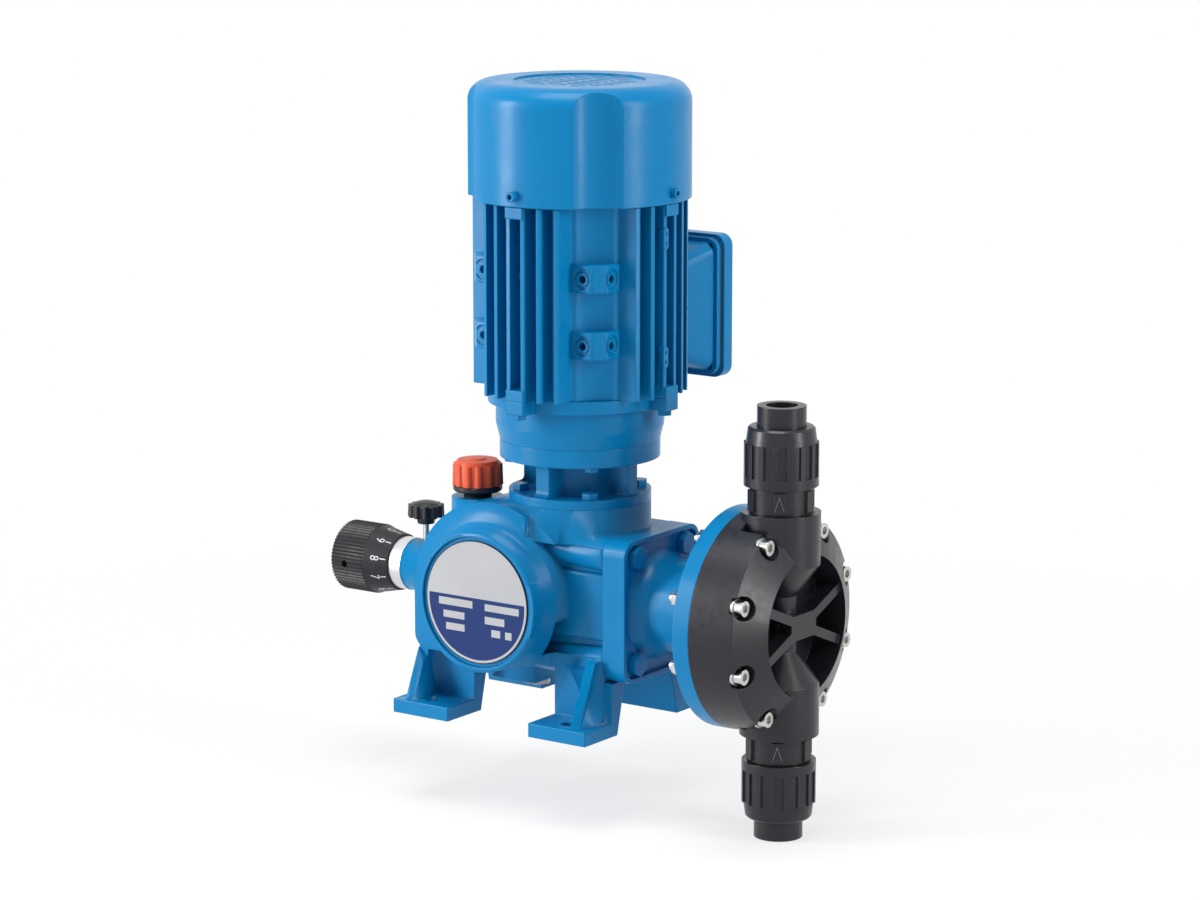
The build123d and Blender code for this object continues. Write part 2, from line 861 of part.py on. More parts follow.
def push_yoke():
    """Closed frame round both eccentrics: side plates with windows, a rear bridge and a front crosshead."""
    half = cam_reach + sliding_gap
    outer = half + yoke_window_wall
    front = gear_x + cam_reach + running_gap
    rear = gear_x - cam_reach - sliding_gap
    bridge = (yoke_bridge_x, yoke_bridge_x + yoke_bridge_thickness)
    y = (yoke_inner_y, yoke_inner_y + yoke_thickness)
    z = (shaft_height - outer, shaft_height + outer)
    plate = block((bridge[0], front + yoke_window_wall), y, z)
    plate = chamfer(plate.edges().filter_by(Axis.Y), yoke_window_wall)
    plate -= block((rear, front), (0, y[1]), (shaft_height - half, shaft_height + half))
    arm_z = (shaft_height - yoke_arm_half_height, shaft_height + yoke_arm_half_height)
    plate += block((front, crosshead_start_x), y, arm_z)
    solid = mirrored(plate)
    solid += block(bridge, (-y[1], y[1]), arm_z)
    solid += block((crosshead_start_x, crosshead_end_x), (-y[1], y[1]), arm_z)
    return solid - bar("X", crosshead_start_x, crosshead_end_x, rod_thread_radius, PUMP)


def push_rod():
    """Rod with a threaded tail in the crosshead and a threaded hole for the stud of the diaphragm."""
    solid = bar("X", crosshead_end_x, rod_end_x, rod_radius, PUMP)
    solid += bar("X", crosshead_start_x, crosshead_end_x, rod_thread_radius, PUMP)
    return solid - bar("X", rod_end_x - thread_engagement, rod_end_x, m8, PUMP)


def return_spring():
    """Compression spring between the crosshead and the shoulder in the diaphragm housing."""
    start = crosshead_end_x + spring_wire + running_gap
    length = bush_start_x - start - spring_wire - running_gap
    path = Helix(length / spring_turns, length, spring_radius)
    wire = Plane(path @ 0, z_dir=path % 0) * Circle(spring_wire)
    return place("X", start, PUMP) * sweep(wire, path=path, is_frenet=True)


def diaphragm():
    """Rubber disc with a clamped rim, a thin flexing web and a moulded hub with its stud."""
    back = head_back_x
    hub_front = back + diaphragm_hub_front
    hub_web = hub_front - diaphragm_rim
    outline = [
        (rod_end_x - thread_engagement, 0),
        (rod_end_x - thread_engagement, m8),
        (rod_end_x, m8),
        (rod_end_x, diaphragm_hub_radius),
        (hub_web - diaphragm_web, diaphragm_hub_radius),
        (back, dish_radius),
        (back, diaphragm_radius),
        (back + diaphragm_rim, diaphragm_radius),
        (back + diaphragm_rim, dish_radius),
        (hub_web, diaphragm_hub_radius),
        (hub_front, diaphragm_hub_radius - diaphragm_rim),
        (hub_front, 0),
    ]
    return turned("X", outline, PUMP)


crosshead_end_x = crosshead_start_x + crosshead_thickness
write("push_yoke", push_yoke())
write("push_rod", push_rod())
write("return_spring", return_spring())
write("diaphragm", diaphragm())
rod_hole = rod_radius + running_gap
rod_seal_x = bush_start_x + bush_length
write("rod_bush", bar("X", bush_start_x, rod_seal_x, bush_radius, PUMP, hole=rod_hole))
worm_seal_z = worm_bearing_base + worm_bearing_width
write(
    "shaft_seals",
    bar("X", rod_seal_x, rod_seal_x + rod_seal_width, bush_radius, PUMP, hole=rod_hole),
    bar("Z", worm_seal_z, worm_seal_z + worm_seal_width, worm_bearing_outer, MOTOR,
        hole=worm_bearing_inner),
)


# Stroke adjustment: a stop pad in the neck, the spindle and knob that move it, a scale sleeve and a lock screw

def scale_sleeve():
    """Plain metal sleeve on the end of the neck, with a spigot inside it."""
    end = neck_end_x - sleeve_visible - sleeve_hidden
    outline = [
        (end, spindle_radius + running_gap),
        (end, sleeve_radius),
        (neck_end_x, sleeve_radius),
        (neck_end_x, neck_bore_radius - seat_gap),
        (neck_end_x + sleeve_spigot, neck_bore_radius - seat_gap),
        (neck_end_x + sleeve_spigot, spindle_radius + running_gap),
    ]
    return turned("X", outline, PUMP)


def spindle():
    """Adjusting spindle, held in the knob and bearing on the stop pad."""
    shoulder = stop_rear_x - thread_engagement
    solid = bar("X", knob_end_x + knob_end_wall / 2, shoulder, spindle_radius, PUMP)
    return solid + bar("X", shoulder, stop_rear_x - running_gap, spindle_tip_radius, PUMP)


def stroke_knob():
    """Hollow grip with a conical dial edge that slides over the scale sleeve."""
    edge = neck_end_x - sleeve_visible
    cone = edge - knob_cone_length
    bore = sleeve_radius + sliding_gap
    outline = [
        (knob_end_x, 0),
        (knob_end_x, knob_radius - knob_flute_radius),
        (knob_end_x + knob_flute_radius, knob_radius),
        (cone, knob_radius),
        (edge, knob_edge_radius),
        (edge, bore),
        (knob_end_x + knob_end_wall, bore),
        (knob_end_x + knob_end_wall, 0),
    ]
    solid = turned("X", outline, PUMP)
    flutes = [
        bar("X", knob_end_x, cone - knob_flute_radius, knob_flute_radius,
            on_circle(knob_radius + knob_flute_radius - knob_flute_depth, index * 360 / knob_flutes, PUMP))
        for index in range(knob_flutes)
    ]
    solid -= flutes
    pocket = (knob_end_x + knob_end_wall / 2, knob_end_x + knob_end_wall)
    solid -= bar("X", *pocket, spindle_radius + seat_gap, PUMP)
    middle = (knob_end_x + cone) / 2
    hole = bar("Y", -knob_radius, -bore + sliding_gap, knob_screw_radius, (middle, shaft_height))
    return solid - hole


def lock_screw():
    """Star knob on a thin screw that clamps the spindle through the neck."""
    spot = (lock_x, 0)
    top = lock_head_base + lock_head_height
    solid = bar("Z", lock_head_base, top, lock_head_radius - lock_lobe_radius / 2, spot)
    for index in range(lock_lobes):
        lobe = on_circle(lock_head_radius - lock_lobe_radius, index * 360 / lock_lobes, spot)
        solid += bar("Z", lock_head_base, top - running_gap, lock_lobe_radius, lobe)
    solid += bar("Z", lock_hub_base, lock_head_base, lock_hub_radius, spot)
    return solid + bar("Z", shaft_height + spindle_radius + sliding_gap, lock_hub_base, m4, spot)


stop_front_x = yoke_bridge_x - full_stroke - seat_gap
write("stop_pad", bar("X", stop_rear_x, stop_front_x, stop_radius, PUMP))
write("scale_sleeve", scale_sleeve())
write("adjusting_spindle", spindle())
write("stroke_knob", stroke_knob())
write("lock_screw", lock_screw())


# Lantern between the gearbox and the motor

def lantern():
    foot_top = motor_boss_top + lantern_foot_thickness
    flange_base = lantern_top - lantern_top_thickness
    outline = [
        (motor_boss_top - lantern_spigot, lantern_bore_radius),
        (motor_boss_top - lantern_spigot, worm_bearing_outer - seat_gap),
        (motor_boss_top, worm_bearing_outer - seat_gap),
        (motor_boss_top, motor_boss_radius),
        (foot_top, motor_boss_radius),
        (foot_top, lantern_tube_radius),
        (flange_base, lantern_tube_radius),
        (flange_base, lantern_top_radius),
        (lantern_top, lantern_top_radius),
        (lantern_top, lantern_bore_radius),
    ]
    solid = turned("Z", outline, MOTOR)
    wide = lantern_rib_reach + lantern_rib_flare
    inner = lantern_bore_radius + running_gap
    bend = lantern_rib_flare * (1 - cos(radians(45)))
    rib = Plane.XZ * make_face(
        [
            Line((inner, foot_top), (wide, foot_top)),
            ThreePointArc((wide, foot_top), (lantern_rib_reach + bend, foot_top + bend),
                          (lantern_rib_reach, foot_top + lantern_rib_flare)),
            Line((lantern_rib_reach, foot_top + lantern_rib_flare),
                 (lantern_rib_reach, flange_base - lantern_rib_flare)),
            ThreePointArc((lantern_rib_reach, flange_base - lantern_rib_flare),
                          (lantern_rib_reach + bend, flange_base - bend), (wide, flange_base)),
            Line((wide, flange_base), (inner, flange_base)),
            Line((inner, flange_base), (inner, foot_top)),
        ]
    )
    rib = Pos(motor_x, 0, 0) * extrude(rib, lantern_rib_thickness / 2, both=True)
    for angle in SIDES:
        solid += rib.rotate(Axis((motor_x, 0, 0), (0, 0, 1)), angle)
    for angle in DIAGONALS:
        lower = on_circle(lantern_lower_bolts, angle, MOTOR)
        upper = on_circle(lantern_upper_bolts, angle, MOTOR)
        solid -= bar("Z", motor_boss_top, foot_top, m6 + bolt_gap, lower)
        solid -= bar("Z", flange_base, lantern_top, m5 + bolt_gap, upper)
    return solid


def lantern_bolts():
    foot_top = motor_boss_top + lantern_foot_thickness
    flange_base = lantern_top - lantern_top_thickness
    reach = lantern_foot_thickness + thread_engagement
    bolts = [hex_bolt("Z", foot_top, reach - running_gap, m6 - running_gap,
                      on_circle(lantern_lower_bolts, angle, MOTOR), 1) for angle in DIAGONALS]
    reach = lantern_top_thickness + shield_wall
    return bolts + [hex_bolt("Z", flange_base, reach, m5 - running_gap,
                             on_circle(lantern_upper_bolts, angle, MOTOR), -1) for angle in DIAGONALS]


write("lantern", lantern())
write("lantern_bolts", *lantern_bolts())


# Motor: finned frame, two end shields, stator, rotor, fan and cover

def round_motor(shape):
    """Copies of a shape made on the plus X side of the motor, on its four sides."""
    return [shape.rotate(Axis((motor_x, 0, 0), (0, 0, 1)), angle) for angle in SIDES]


def side_lug(low, high):
    """Lug on the plus X side for a tie screw."""
    x = (motor_x + lug_start, motor_x + lug_reach)
    return block(x, (-lug_width / 2, lug_width / 2), (low, high))


def front_shield():
    """Lower end shield with the front bearing seat and a flange on the lantern."""
    floor = lantern_top + shield_wall
    hub = motor_bearing_outer + shield_wall
    bearing_top = front_bearing_base + motor_bearing_width
    spigot = stator_radius
    inside = stator_radius - shield_wall
    outline = [
        (lantern_top, motor_shaft_radius + shield_wall),
        (lantern_top, lantern_top_radius),
        (lantern_top + thread_engagement, shield_base_radius),
        (shield_ring_base, shield_base_radius),
        (shield_ring_base, shield_ring_radius),
        (frame_base, shield_ring_radius),
        (frame_base, spigot),
        (frame_base + shield_wall, spigot),
        (frame_base + shield_wall, inside),
        (floor, inside),
        (floor, hub),
        (bearing_top, hub),
        (bearing_top, motor_bearing_outer),
        (front_bearing_base, motor_bearing_outer),
        (front_bearing_base, motor_shaft_radius + shield_wall),
    ]
    solid = turned("Z", outline, MOTOR)
    lug = side_lug(shield_ring_base, frame_base)
    lug -= bar("Z", shield_ring_base, frame_base, m5 + bolt_gap, (motor_x + lug_bolt_circle, 0))
    solid += round_motor(lug)
    for angle in DIAGONALS:
        solid -= bar("Z", lantern_top, floor, m5, on_circle(lantern_upper_bolts, angle, MOTOR))
    return solid


def diagonal_hollows(radius, center, bottom, top):
    """Upright round cutters at the four corners of the motor."""
    return [bar("Z", bottom, top, radius, on_circle(center, angle, MOTOR)) for angle in DIAGONALS]


def motor_frame():
    """Cast frame with upright fins on four sides and threaded pads at its corners."""
    core = bar("Z", frame_base, frame_top, frame_core_radius, MOTOR)
    hollow = frame_core_radius + diagonal_hollow_radius - diagonal_hollow_depth
    core -= diagonal_hollows(diagonal_hollow_radius, hollow, frame_base, frame_top)
    first = -fin_pitch * (fins_per_side - 1) / 2
    fins = []
    for index in range(fins_per_side):
        y = first + index * fin_pitch
        limits = (y - fin_thickness / 2, y + fin_thickness / 2)
        fin = block((motor_x + fin_root, motor_x + frame_fin_radius), limits, (frame_base, frame_top))
        fins += round_motor(fin)
    lugs = round_motor(side_lug(frame_base, frame_base + lug_depth))
    lugs += round_motor(side_lug(frame_top - lug_depth, frame_top))
    solid = core + fins + lugs
    solid &= bar("Z", frame_base, frame_top, frame_fin_radius, MOTOR) + lugs
    pad_z = (box_center_z - box_back_half_width, box_center_z + box_back_half_width)
    pad_x = (motor_x - box_back_half_width, motor_x + box_back_half_width)
    slope = (box_half_width - box_back_half_width) / (box_flange_y - box_start_y)
    widening = slope * (lug_reach - box_start_y) + sliding_gap
    clear_z = (pad_z[0] - widening, pad_z[1] + widening)
    solid -= block(pad_x, (box_start_y, lug_reach + sliding_gap), clear_z)
    solid += block(pad_x, (box_pad_start, box_start_y), pad_z)
    blocks = []
    for low in (corner_block_low - corner_block_height / 2, corner_block_high - corner_block_height / 2):
        limits = (corner_block_start, corner_block_face)
        piece = Pos(motor_x, 0, 0) * block(limits, limits, (low, low + corner_block_height))
        outer = piece.edges().filter_by(Axis.Z).sort_by(lambda edge: edge.center().X + edge.center().Y)[-1]
        piece = chamfer(outer, corner_ridge)
        middle = low + corner_block_height / 2
        ends = (corner_block_face - corner_hole_depth, corner_block_face)
        piece -= bar("X", motor_x + ends[0], motor_x + ends[1], m5, (corner_hole_offset, middle))
        piece -= bar("Y", *ends, m5, (motor_x + corner_hole_offset, middle))
        blocks += round_motor(piece)
    solid += blocks
    solid -= bar("Z", frame_base, frame_top, stator_radius + running_gap, MOTOR)
    for angle in SIDES:
        spot = on_circle(lug_bolt_circle, angle, MOTOR)
        solid -= bar("Z", frame_base, frame_base + lug_depth, m5, spot)
        solid -= bar("Z", frame_top - lug_depth, frame_top, m5, spot)
    earth_y = -frame_core_radius
    solid -= bar("Y", earth_y, earth_y + shield_wall, m4, (motor_x, corner_block_high))
    return solid


def rear_shield():
    """Upper end shield inside the fan cover, with the rear bearing seat and four pads for its screws."""
    top = frame_top + rear_shield_height
    floor = frame_top + shield_wall
    hub = motor_bearing_outer + shield_wall
    spigot = frame_top - shield_wall
    inside = stator_radius - shield_wall
    bearing_top = rear_bearing_base + motor_bearing_width
    outline = [
        (spigot, inside),
        (spigot, stator_radius),
        (frame_top, stator_radius),
        (frame_top, rear_shield_radius),
        (top, rear_shield_radius),
        (top, rear_shield_radius - shield_wall),
        (floor, rear_shield_radius - shield_wall),
        (floor, hub),
        (bearing_top + race_thickness, hub),
        (bearing_top + race_thickness, motor_shaft_radius + race_thickness),
        (bearing_top, motor_shaft_radius + race_thickness),
        (bearing_top, motor_bearing_outer),
        (rear_bearing_base, motor_bearing_outer),
        (rear_bearing_base, hub),
        (frame_top, hub),
        (frame_top, inside),
    ]
    solid = turned("Z", outline, MOTOR)
    flute = cover_outer_radius + flute_radius - flute_depth
    solid -= diagonal_hollows(flute_radius + cover_wall + sliding_gap, flute, frame_top, top)
    start = motor_x + rear_shield_radius - shield_wall
    pad_end = cover_outer_radius - cover_wall - seat_gap
    pad = block((start, motor_x + pad_end), (-lug_width / 2, lug_width / 2), (frame_top, top))
    pad &= bar("Z", frame_top, top, pad_end, MOTOR)
    hole = bar("X", start, motor_x + cover_outer_radius, m4, (0, cover_screw_height))
    return solid - round_motor(hole) + round_motor(pad - hole)


def cover_form(radius, top, flute, rounding):
    """Solid form of the fan cover, used for its outside and its inside."""
    solid = bar("Z", cover_base, top, radius, MOTOR)
    solid = fillet(solid.edges().group_by(Axis.Z)[-1], rounding)
    center = cover_outer_radius + flute_radius - flute_depth
    return solid - diagonal_hollows(flute, center, cover_base, cover_top)


def fan_cover():
    """Cast cover with four upright flutes and rows of air slots in its top."""
    solid = cover_form(cover_outer_radius, cover_top, flute_radius, cover_round)
    inner = cover_form(cover_outer_radius - cover_wall, cover_top - cover_wall, flute_radius + cover_wall,
                       cover_round - cover_wall)
    solid -= inner
    solid -= bar("Z", cover_top - vent_recess, cover_top, vent_field_radius, MOTOR)
    rows = int(vent_field_radius / vent_slot_pitch)
    slots = []
    for row in range(-rows, rows + 1):
        y = row * vent_slot_pitch
        half_chord = sqrt(max(vent_field_radius ** 2 - y ** 2, 0)) - vent_slot_width
        count = int(2 * half_chord / (vent_slot_length + vent_slot_width))
        for index in range(count):
            middle = motor_x + (index - (count - 1) / 2) * (vent_slot_length + vent_slot_width)
            slots.append(block((middle - vent_slot_length / 2, middle + vent_slot_length / 2),
                               (y - vent_slot_width / 2, y + vent_slot_width / 2),
                               (cover_top - cover_wall - vent_recess, cover_top)))
    solid -= slots
    x = (motor_x + rear_shield_radius, motor_x + cover_outer_radius)
    return solid - round_motor(bar("X", *x, m4 + bolt_gap, (0, cover_screw_height)))


def cooling_fan():
    """Radial fan: a hub on the shaft, a disc and straight blades."""
    hub_top = fan_base + fan_height
    solid = bar("Z", fan_base, hub_top, fan_hub_radius, MOTOR)
    solid += bar("Z", fan_base, fan_base + fan_disc, fan_radius, MOTOR)
    blade = block((motor_x, motor_x + fan_radius), (-fan_blade_thickness / 2, fan_blade_thickness / 2),
                  (fan_base, hub_top))
    for index in range(fan_blades):
        solid += blade.rotate(Axis((motor_x, 0, 0), (0, 0, 1)), index * 360 / fan_blades)
    return solid - bar("Z", fan_base, hub_top, motor_shaft_radius, MOTOR)


def motor_shaft():
    front = front_bearing_base
    rear = rear_bearing_base
    journal = motor_bearing_inner - running_gap
    outline = [
        (worm_top - motor_shaft_insert, 0),
        (worm_top - motor_shaft_insert, motor_shaft_radius),
        (front, motor_shaft_radius),
        (front, journal),
        (front + motor_bearing_width, journal),
        (front + motor_bearing_width, rotor_shaft_radius),
        (rear, rotor_shaft_radius),
        (rear, journal),
        (rear + motor_bearing_width, journal),
        (rear + motor_bearing_width, motor_shaft_radius),
        (fan_base + fan_height, motor_shaft_radius),
        (fan_base + fan_height, 0),
    ]
    return turned("Z", outline, MOTOR) - key_block()


def tie_screws():
    screws = []
    for angle in SIDES:
        spot = on_circle(lug_bolt_circle, angle, MOTOR)
        length = frame_base - shield_ring_base + lug_depth - running_gap
        screws.append(hex_bolt("Z", shield_ring_base, length, m5 - running_gap, spot, -1))
    return screws


def cover_screws():
    seat = motor_x + cover_outer_radius
    length = cover_outer_radius - rear_shield_radius + shield_wall / 2
    return round_motor(socket_screw("X", seat, length, m4 - running_gap, (0, cover_screw_height), 1))


stator_top = stator_base + stator_length
rotor_radius = stator_bore - air_gap
stator_core = bar("Z", stator_base, stator_top, stator_radius, MOTOR, hole=stator_bore)
write("front_end_shield", front_shield())
write("motor_frame", motor_frame())
write("rear_end_shield", rear_shield())
write("fan_cover", fan_cover())
write("cooling_fan", cooling_fan())
write("motor_shaft", motor_shaft())
write("rotor", bar("Z", stator_base, stator_top, rotor_radius, MOTOR, hole=rotor_shaft_radius))
write("stator_core", stator_core)
write(
    "stator_windings",
    bar("Z", stator_base - winding_length, stator_base, winding_outer, MOTOR, hole=winding_inner),
    bar("Z", stator_top, stator_top + winding_length, winding_outer, MOTOR, hole=winding_inner),
)
motor_bearing = (motor_bearing_width, motor_bearing_inner, motor_bearing_outer, MOTOR)
write(
    "motor_bearings",
    ball_bearing("Z", front_bearing_base, *motor_bearing),
    ball_bearing("Z", rear_bearing_base, *motor_bearing),
)
write("tie_screws", *tie_screws())
write("fan_cover_screws", *cover_screws())
write(
    "earth_screw",
    socket_screw("Y", -frame_core_radius, shield_wall - running_gap, m4 - running_gap,
                 (motor_x, corner_block_high), -1),
)


# Terminal box on the back of the motor

def box_frame(half_width, start, end):
    """Rounded square slab of the terminal box between two distances from the motor axis."""
    shape = extrude(RectangleRounded(2 * half_width, 2 * half_width, box_corner), end - start)
    return Pos(motor_x, start, box_center_z) * TURN["Y"] * shape


def box_screws_at():
    """Centres of the four lid screws."""
    offsets = (-lid_screw_offset, lid_screw_offset)
    return [(motor_x + x, box_center_z + z) for x in offsets for z in offsets]


def terminal_box():
    """Tapered open box with a flange for its lid and a cable entry on its far side."""
    flange_end = box_flange_y + box_flange_thickness
    back = RectangleRounded(2 * box_back_half_width, 2 * box_back_half_width, box_corner)
    front = RectangleRounded(2 * box_half_width, 2 * box_half_width, box_corner)
    taper = TURN["Y"] * loft([back, Pos(0, 0, box_flange_y - box_start_y) * front])
    solid = Pos(motor_x, box_start_y, box_center_z) * taper
    solid += box_frame(box_flange_half_width, box_flange_y, flange_end)
    solid -= box_frame(box_back_half_width - box_wall, box_start_y + box_wall, flange_end)
    for spot in box_screws_at():
        solid -= bar("Y", box_flange_y, flange_end, m4, spot)
    entry = (motor_x - box_half_width, motor_x - box_back_half_width + box_wall)
    return solid - bar("X", *entry, gland_radius + seat_gap, (gland_y, box_center_z))


def terminal_box_lid():
    inner = lid_start_y + lid_thickness - lid_wall
    solid = box_frame(lid_half_width, lid_start_y, lid_start_y + lid_thickness)
    outer = solid.faces().sort_by(Axis.Y)[-1]
    solid = chamfer(outer.edges(), lid_wall / 2)
    solid -= box_frame(box_back_half_width - box_wall, lid_start_y, inner)
    for spot in box_screws_at():
        solid -= bar("Y", lid_start_y, lid_start_y + lid_thickness, m4 + bolt_gap, spot)
    return solid


def gasket():
    flange_end = box_flange_y + box_flange_thickness
    solid = box_frame(box_flange_half_width, flange_end, lid_start_y)
    solid -= box_frame(box_back_half_width - box_wall, flange_end, lid_start_y)
    for spot in box_screws_at():
        solid -= bar("Y", flange_end, lid_start_y, m4 + bolt_gap, spot)
    return solid


def terminal_block():
    """Terminal board with its studs, on the floor of the box."""
    floor = box_start_y + box_wall
    x = (motor_x - terminal_width / 2, motor_x + terminal_width / 2)
    z = (box_center_z - terminal_height / 2, box_center_z + terminal_height / 2)
    solid = block(x, (floor, floor + terminal_depth / 2), z)
    columns = stud_count // 2
    for index in range(stud_count):
        stud_x = motor_x + (index % columns - 1) * terminal_width / columns
        stud_z = box_center_z + (index // columns - 1 / 2) * terminal_height / 2
        solid += bar("Y", floor, floor + terminal_depth, m4, (stud_x, stud_z))
    return solid


def cable_gland():
    """Cable gland in the side of the terminal box away from the pump head, open for a cable."""
    across = (gland_y, box_center_z)
    face = motor_x - box_half_width
    inner = motor_x - box_back_half_width + box_wall
    solid = hexagon("X", face - gland_length / 2, face, gland_flats, across)
    solid += bar("X", face - gland_length, face - gland_length / 2, gland_radius + box_wall / 2, across)
    solid += bar("X", face, inner, gland_radius, across)
    return solid - bar("X", face - gland_length, inner, gland_bore_radius, across)


lid_start_y = box_flange_y + box_flange_thickness + gasket_thickness
gland_y = (box_start_y + box_flange_y) / 2
lid_screw_length = lid_thickness + gasket_thickness + box_flange_thickness - m4
write("terminal_box", terminal_box())
write("terminal_box_lid", terminal_box_lid())
write("terminal_box_gasket", gasket())
write("terminal_block", terminal_block())
write("cable_gland", cable_gland())
write(
    "terminal_box_screws",
    *(socket_screw("Y", lid_start_y + lid_thickness, lid_screw_length, m4 - running_gap, spot, 1)
      for spot in box_screws_at()),
)


# Diaphragm housing: square flange, necked tube and round back plate in one casting

def square_slab(start, thickness, inset):
    """Rounded slab in the outline of the square flange, set in all round by a distance."""
    width = 2 * (square_half_width - inset)
    height = 2 * (square_half_height - inset)
    outline = RectangleRounded(height, width, square_corner - inset)
    return place("X", start, PUMP) * extrude(outline, thickness)


def diaphragm_housing():
    face = front_face_x
    pocket = square_front_x - square_pocket_depth
    flare_end = pocket + flare_length
    seal_end = rod_seal_x + rod_seal_width
    back_fillet = flare_radius - housing_neck_radius
    fillet_start = disc_back_x - back_fillet
    fillet_middle = on_circle(back_fillet, -45, (fillet_start, flare_radius))
    outer = [
        Line((face, spring_seat_radius), (face, flare_radius)),
        Line((face, flare_radius), (pocket, flare_radius)),
        TangentArc((flare_end, housing_neck_radius), (pocket, flare_radius), tangent=(-1, 0)),
        Line((flare_end, housing_neck_radius), (fillet_start, housing_neck_radius)),
        ThreePointArc((fillet_start, housing_neck_radius), fillet_middle, (disc_back_x, flare_radius)),
    ]
    rest = [
        (disc_back_x, flare_radius),
        (disc_back_x, disc_radius),
        (head_back_x, disc_radius),
        (head_back_x, diaphragm_chamber_radius),
        (head_back_x - diaphragm_chamber_depth, diaphragm_chamber_radius),
        (disc_back_x, back_chamber_radius),
        (seal_end, back_chamber_radius),
        (seal_end, bush_radius),
        (bush_start_x, bush_radius),
        (bush_start_x, spring_seat_radius),
        (face, spring_seat_radius),
    ]
    section = make_face(outer + [Line(a, b) for a, b in zip(rest, rest[1:])])
    neck = Pos(0, 0, shaft_height) * revolve(Plane.XZ * section, Axis.X)
    border = square_pocket_border
    plate = square_slab(face, square_thickness, 0) - square_slab(pocket, square_pocket_depth, border)
    plate -= bar("X", face, pocket, spring_seat_radius + running_gap, PUMP)
    solid = plate + neck
    for spot in square_bolts_at():
        solid -= bar("X", face, pocket, m8 + bolt_gap, spot)
    for spot in head_screws_at():
        solid -= bar("X", disc_back_x, head_back_x, m6 + bolt_gap, spot)
    return solid


def head_screws_at():
    """Centres of the screws of the pump head, four on each side of the valves."""
    angles = [head_screw_first_angle + index * head_screw_step for index in range(head_screws_per_side)]
    right = [on_circle(head_screw_circle, 90 - angle, PUMP) for angle in angles]
    return right + [(-y, z) for y, z in right]


spring_seat_radius = spring_radius + spring_wire + 2 * sliding_gap
write("diaphragm_housing", diaphragm_housing())
flange_bolt_length = square_thickness - square_pocket_depth + thread_engagement
write(
    "flange_bolts",
    *(hex_bolt("X", square_front_x - square_pocket_depth, flange_bolt_length, m8 - running_gap, spot, 1)
      for spot in square_bolts_at()),
)


# Pump head with its screws

def head_web():
    """Crossed stiffening ribs in front of the recess, meeting in a raised pad."""
    front = head_ring_x - web_pad_depth
    pad = block((front - web_arm_depth, front), (-web_pad_half_width, web_pad_half_width),
                (shaft_height - web_pad_half_height, shaft_height + web_pad_half_height))
    arm = block((front - web_arm_depth, front), (0, head_recess_radius + web_arm_thickness / 2),
                (-web_arm_thickness / 2, web_arm_thickness / 2))
    for angle in (web_arm_angle, -web_arm_angle, 180 - web_arm_angle, 180 + web_arm_angle):
        pad += Pos(0, 0, shaft_height) * Rotation(angle, 0, 0) * arm
    return pad


def pump_head():
    """Moulded head: a dished body, a ring with a sloping face, and a valve column through its recess."""
    rim = head_back_x + diaphragm_rim
    outline = [
        (head_back_x, diaphragm_radius + seat_gap),
        (head_back_x, disc_radius),
        (head_edge_x, head_front_radius),
        (head_ring_x, head_recess_radius),
        (head_back_x + head_floor + dish_depth, head_recess_radius),
        (head_back_x + head_floor + dish_depth, 0),
        (head_back_x + dish_depth, 0),
        (head_back_x + dish_depth, dish_radius / 2),
        (rim, dish_radius),
        (rim, diaphragm_radius + seat_gap),
    ]
    solid = turned("X", outline, PUMP)
    cut_half = disc_radius - valve_cut_start
    notch = Plane.YZ * Polyline(
        [
            (-cut_half, disc_radius),
            (valve_cut_start - head_recess_radius, head_recess_radius),
            (head_recess_radius - valve_cut_start, head_recess_radius),
            (cut_half, disc_radius),
        ],
        close=True,
    )
    notch = extrude(make_face(notch), head_ring_x)
    notch_x = head_ring_x - valve_cut_depth - head_ring_rise
    for turn in (0, 180):
        solid -= Pos(notch_x, 0, shaft_height) * Rotation(turn, 0, 0) * notch
    taper = valve_base - valve_boss_straight
    column = [
        (-valve_base, 0),
        (-valve_base, valve_boss_radius),
        (-taper, valve_boss_radius),
        (valve_boss_taper - taper, valve_column_radius),
        (taper - valve_boss_taper, valve_column_radius),
        (taper, valve_boss_radius),
        (valve_base, valve_boss_radius),
        (valve_base, 0),
    ]
    bosses = Pos(0, 0, shaft_height) * turned("Z", column, (valve_x, 0))
    behind = (valve_x - valve_boss_radius, head_back_x)
    across = (-valve_boss_radius, valve_boss_radius)
    bosses -= block(behind, across, (shaft_height - valve_base, shaft_height + valve_base))
    bosses -= bar("X", head_back_x, rim, diaphragm_radius + seat_gap, PUMP)
    bosses -= bar("X", head_back_x, head_back_x + dish_depth, dish_radius, PUMP)
    solid += bosses
    solid += head_web()
    for toward in (-1, 1):
        pocket = span(shaft_height + toward * (valve_base - valve_spigot_length), valve_spigot_length, toward)
        bore = span(shaft_height + toward * flow_height, valve_base - flow_height, toward)
        solid -= bar("Z", *pocket, valve_spigot_radius + seat_gap, (valve_x, 0))
        solid -= bar("Z", *bore, flow_radius, (valve_x, 0))
        solid -= bar("X", head_back_x, valve_x, flow_radius, (0, shaft_height + toward * flow_height))
    for spot in head_screws_at():
        solid -= bar("X", head_back_x, head_ring_x, m6 + bolt_gap, spot)
        solid -= bar("X", screw_seat_x - washer_thickness, head_ring_x, head_counterbore_radius, spot)
    return solid


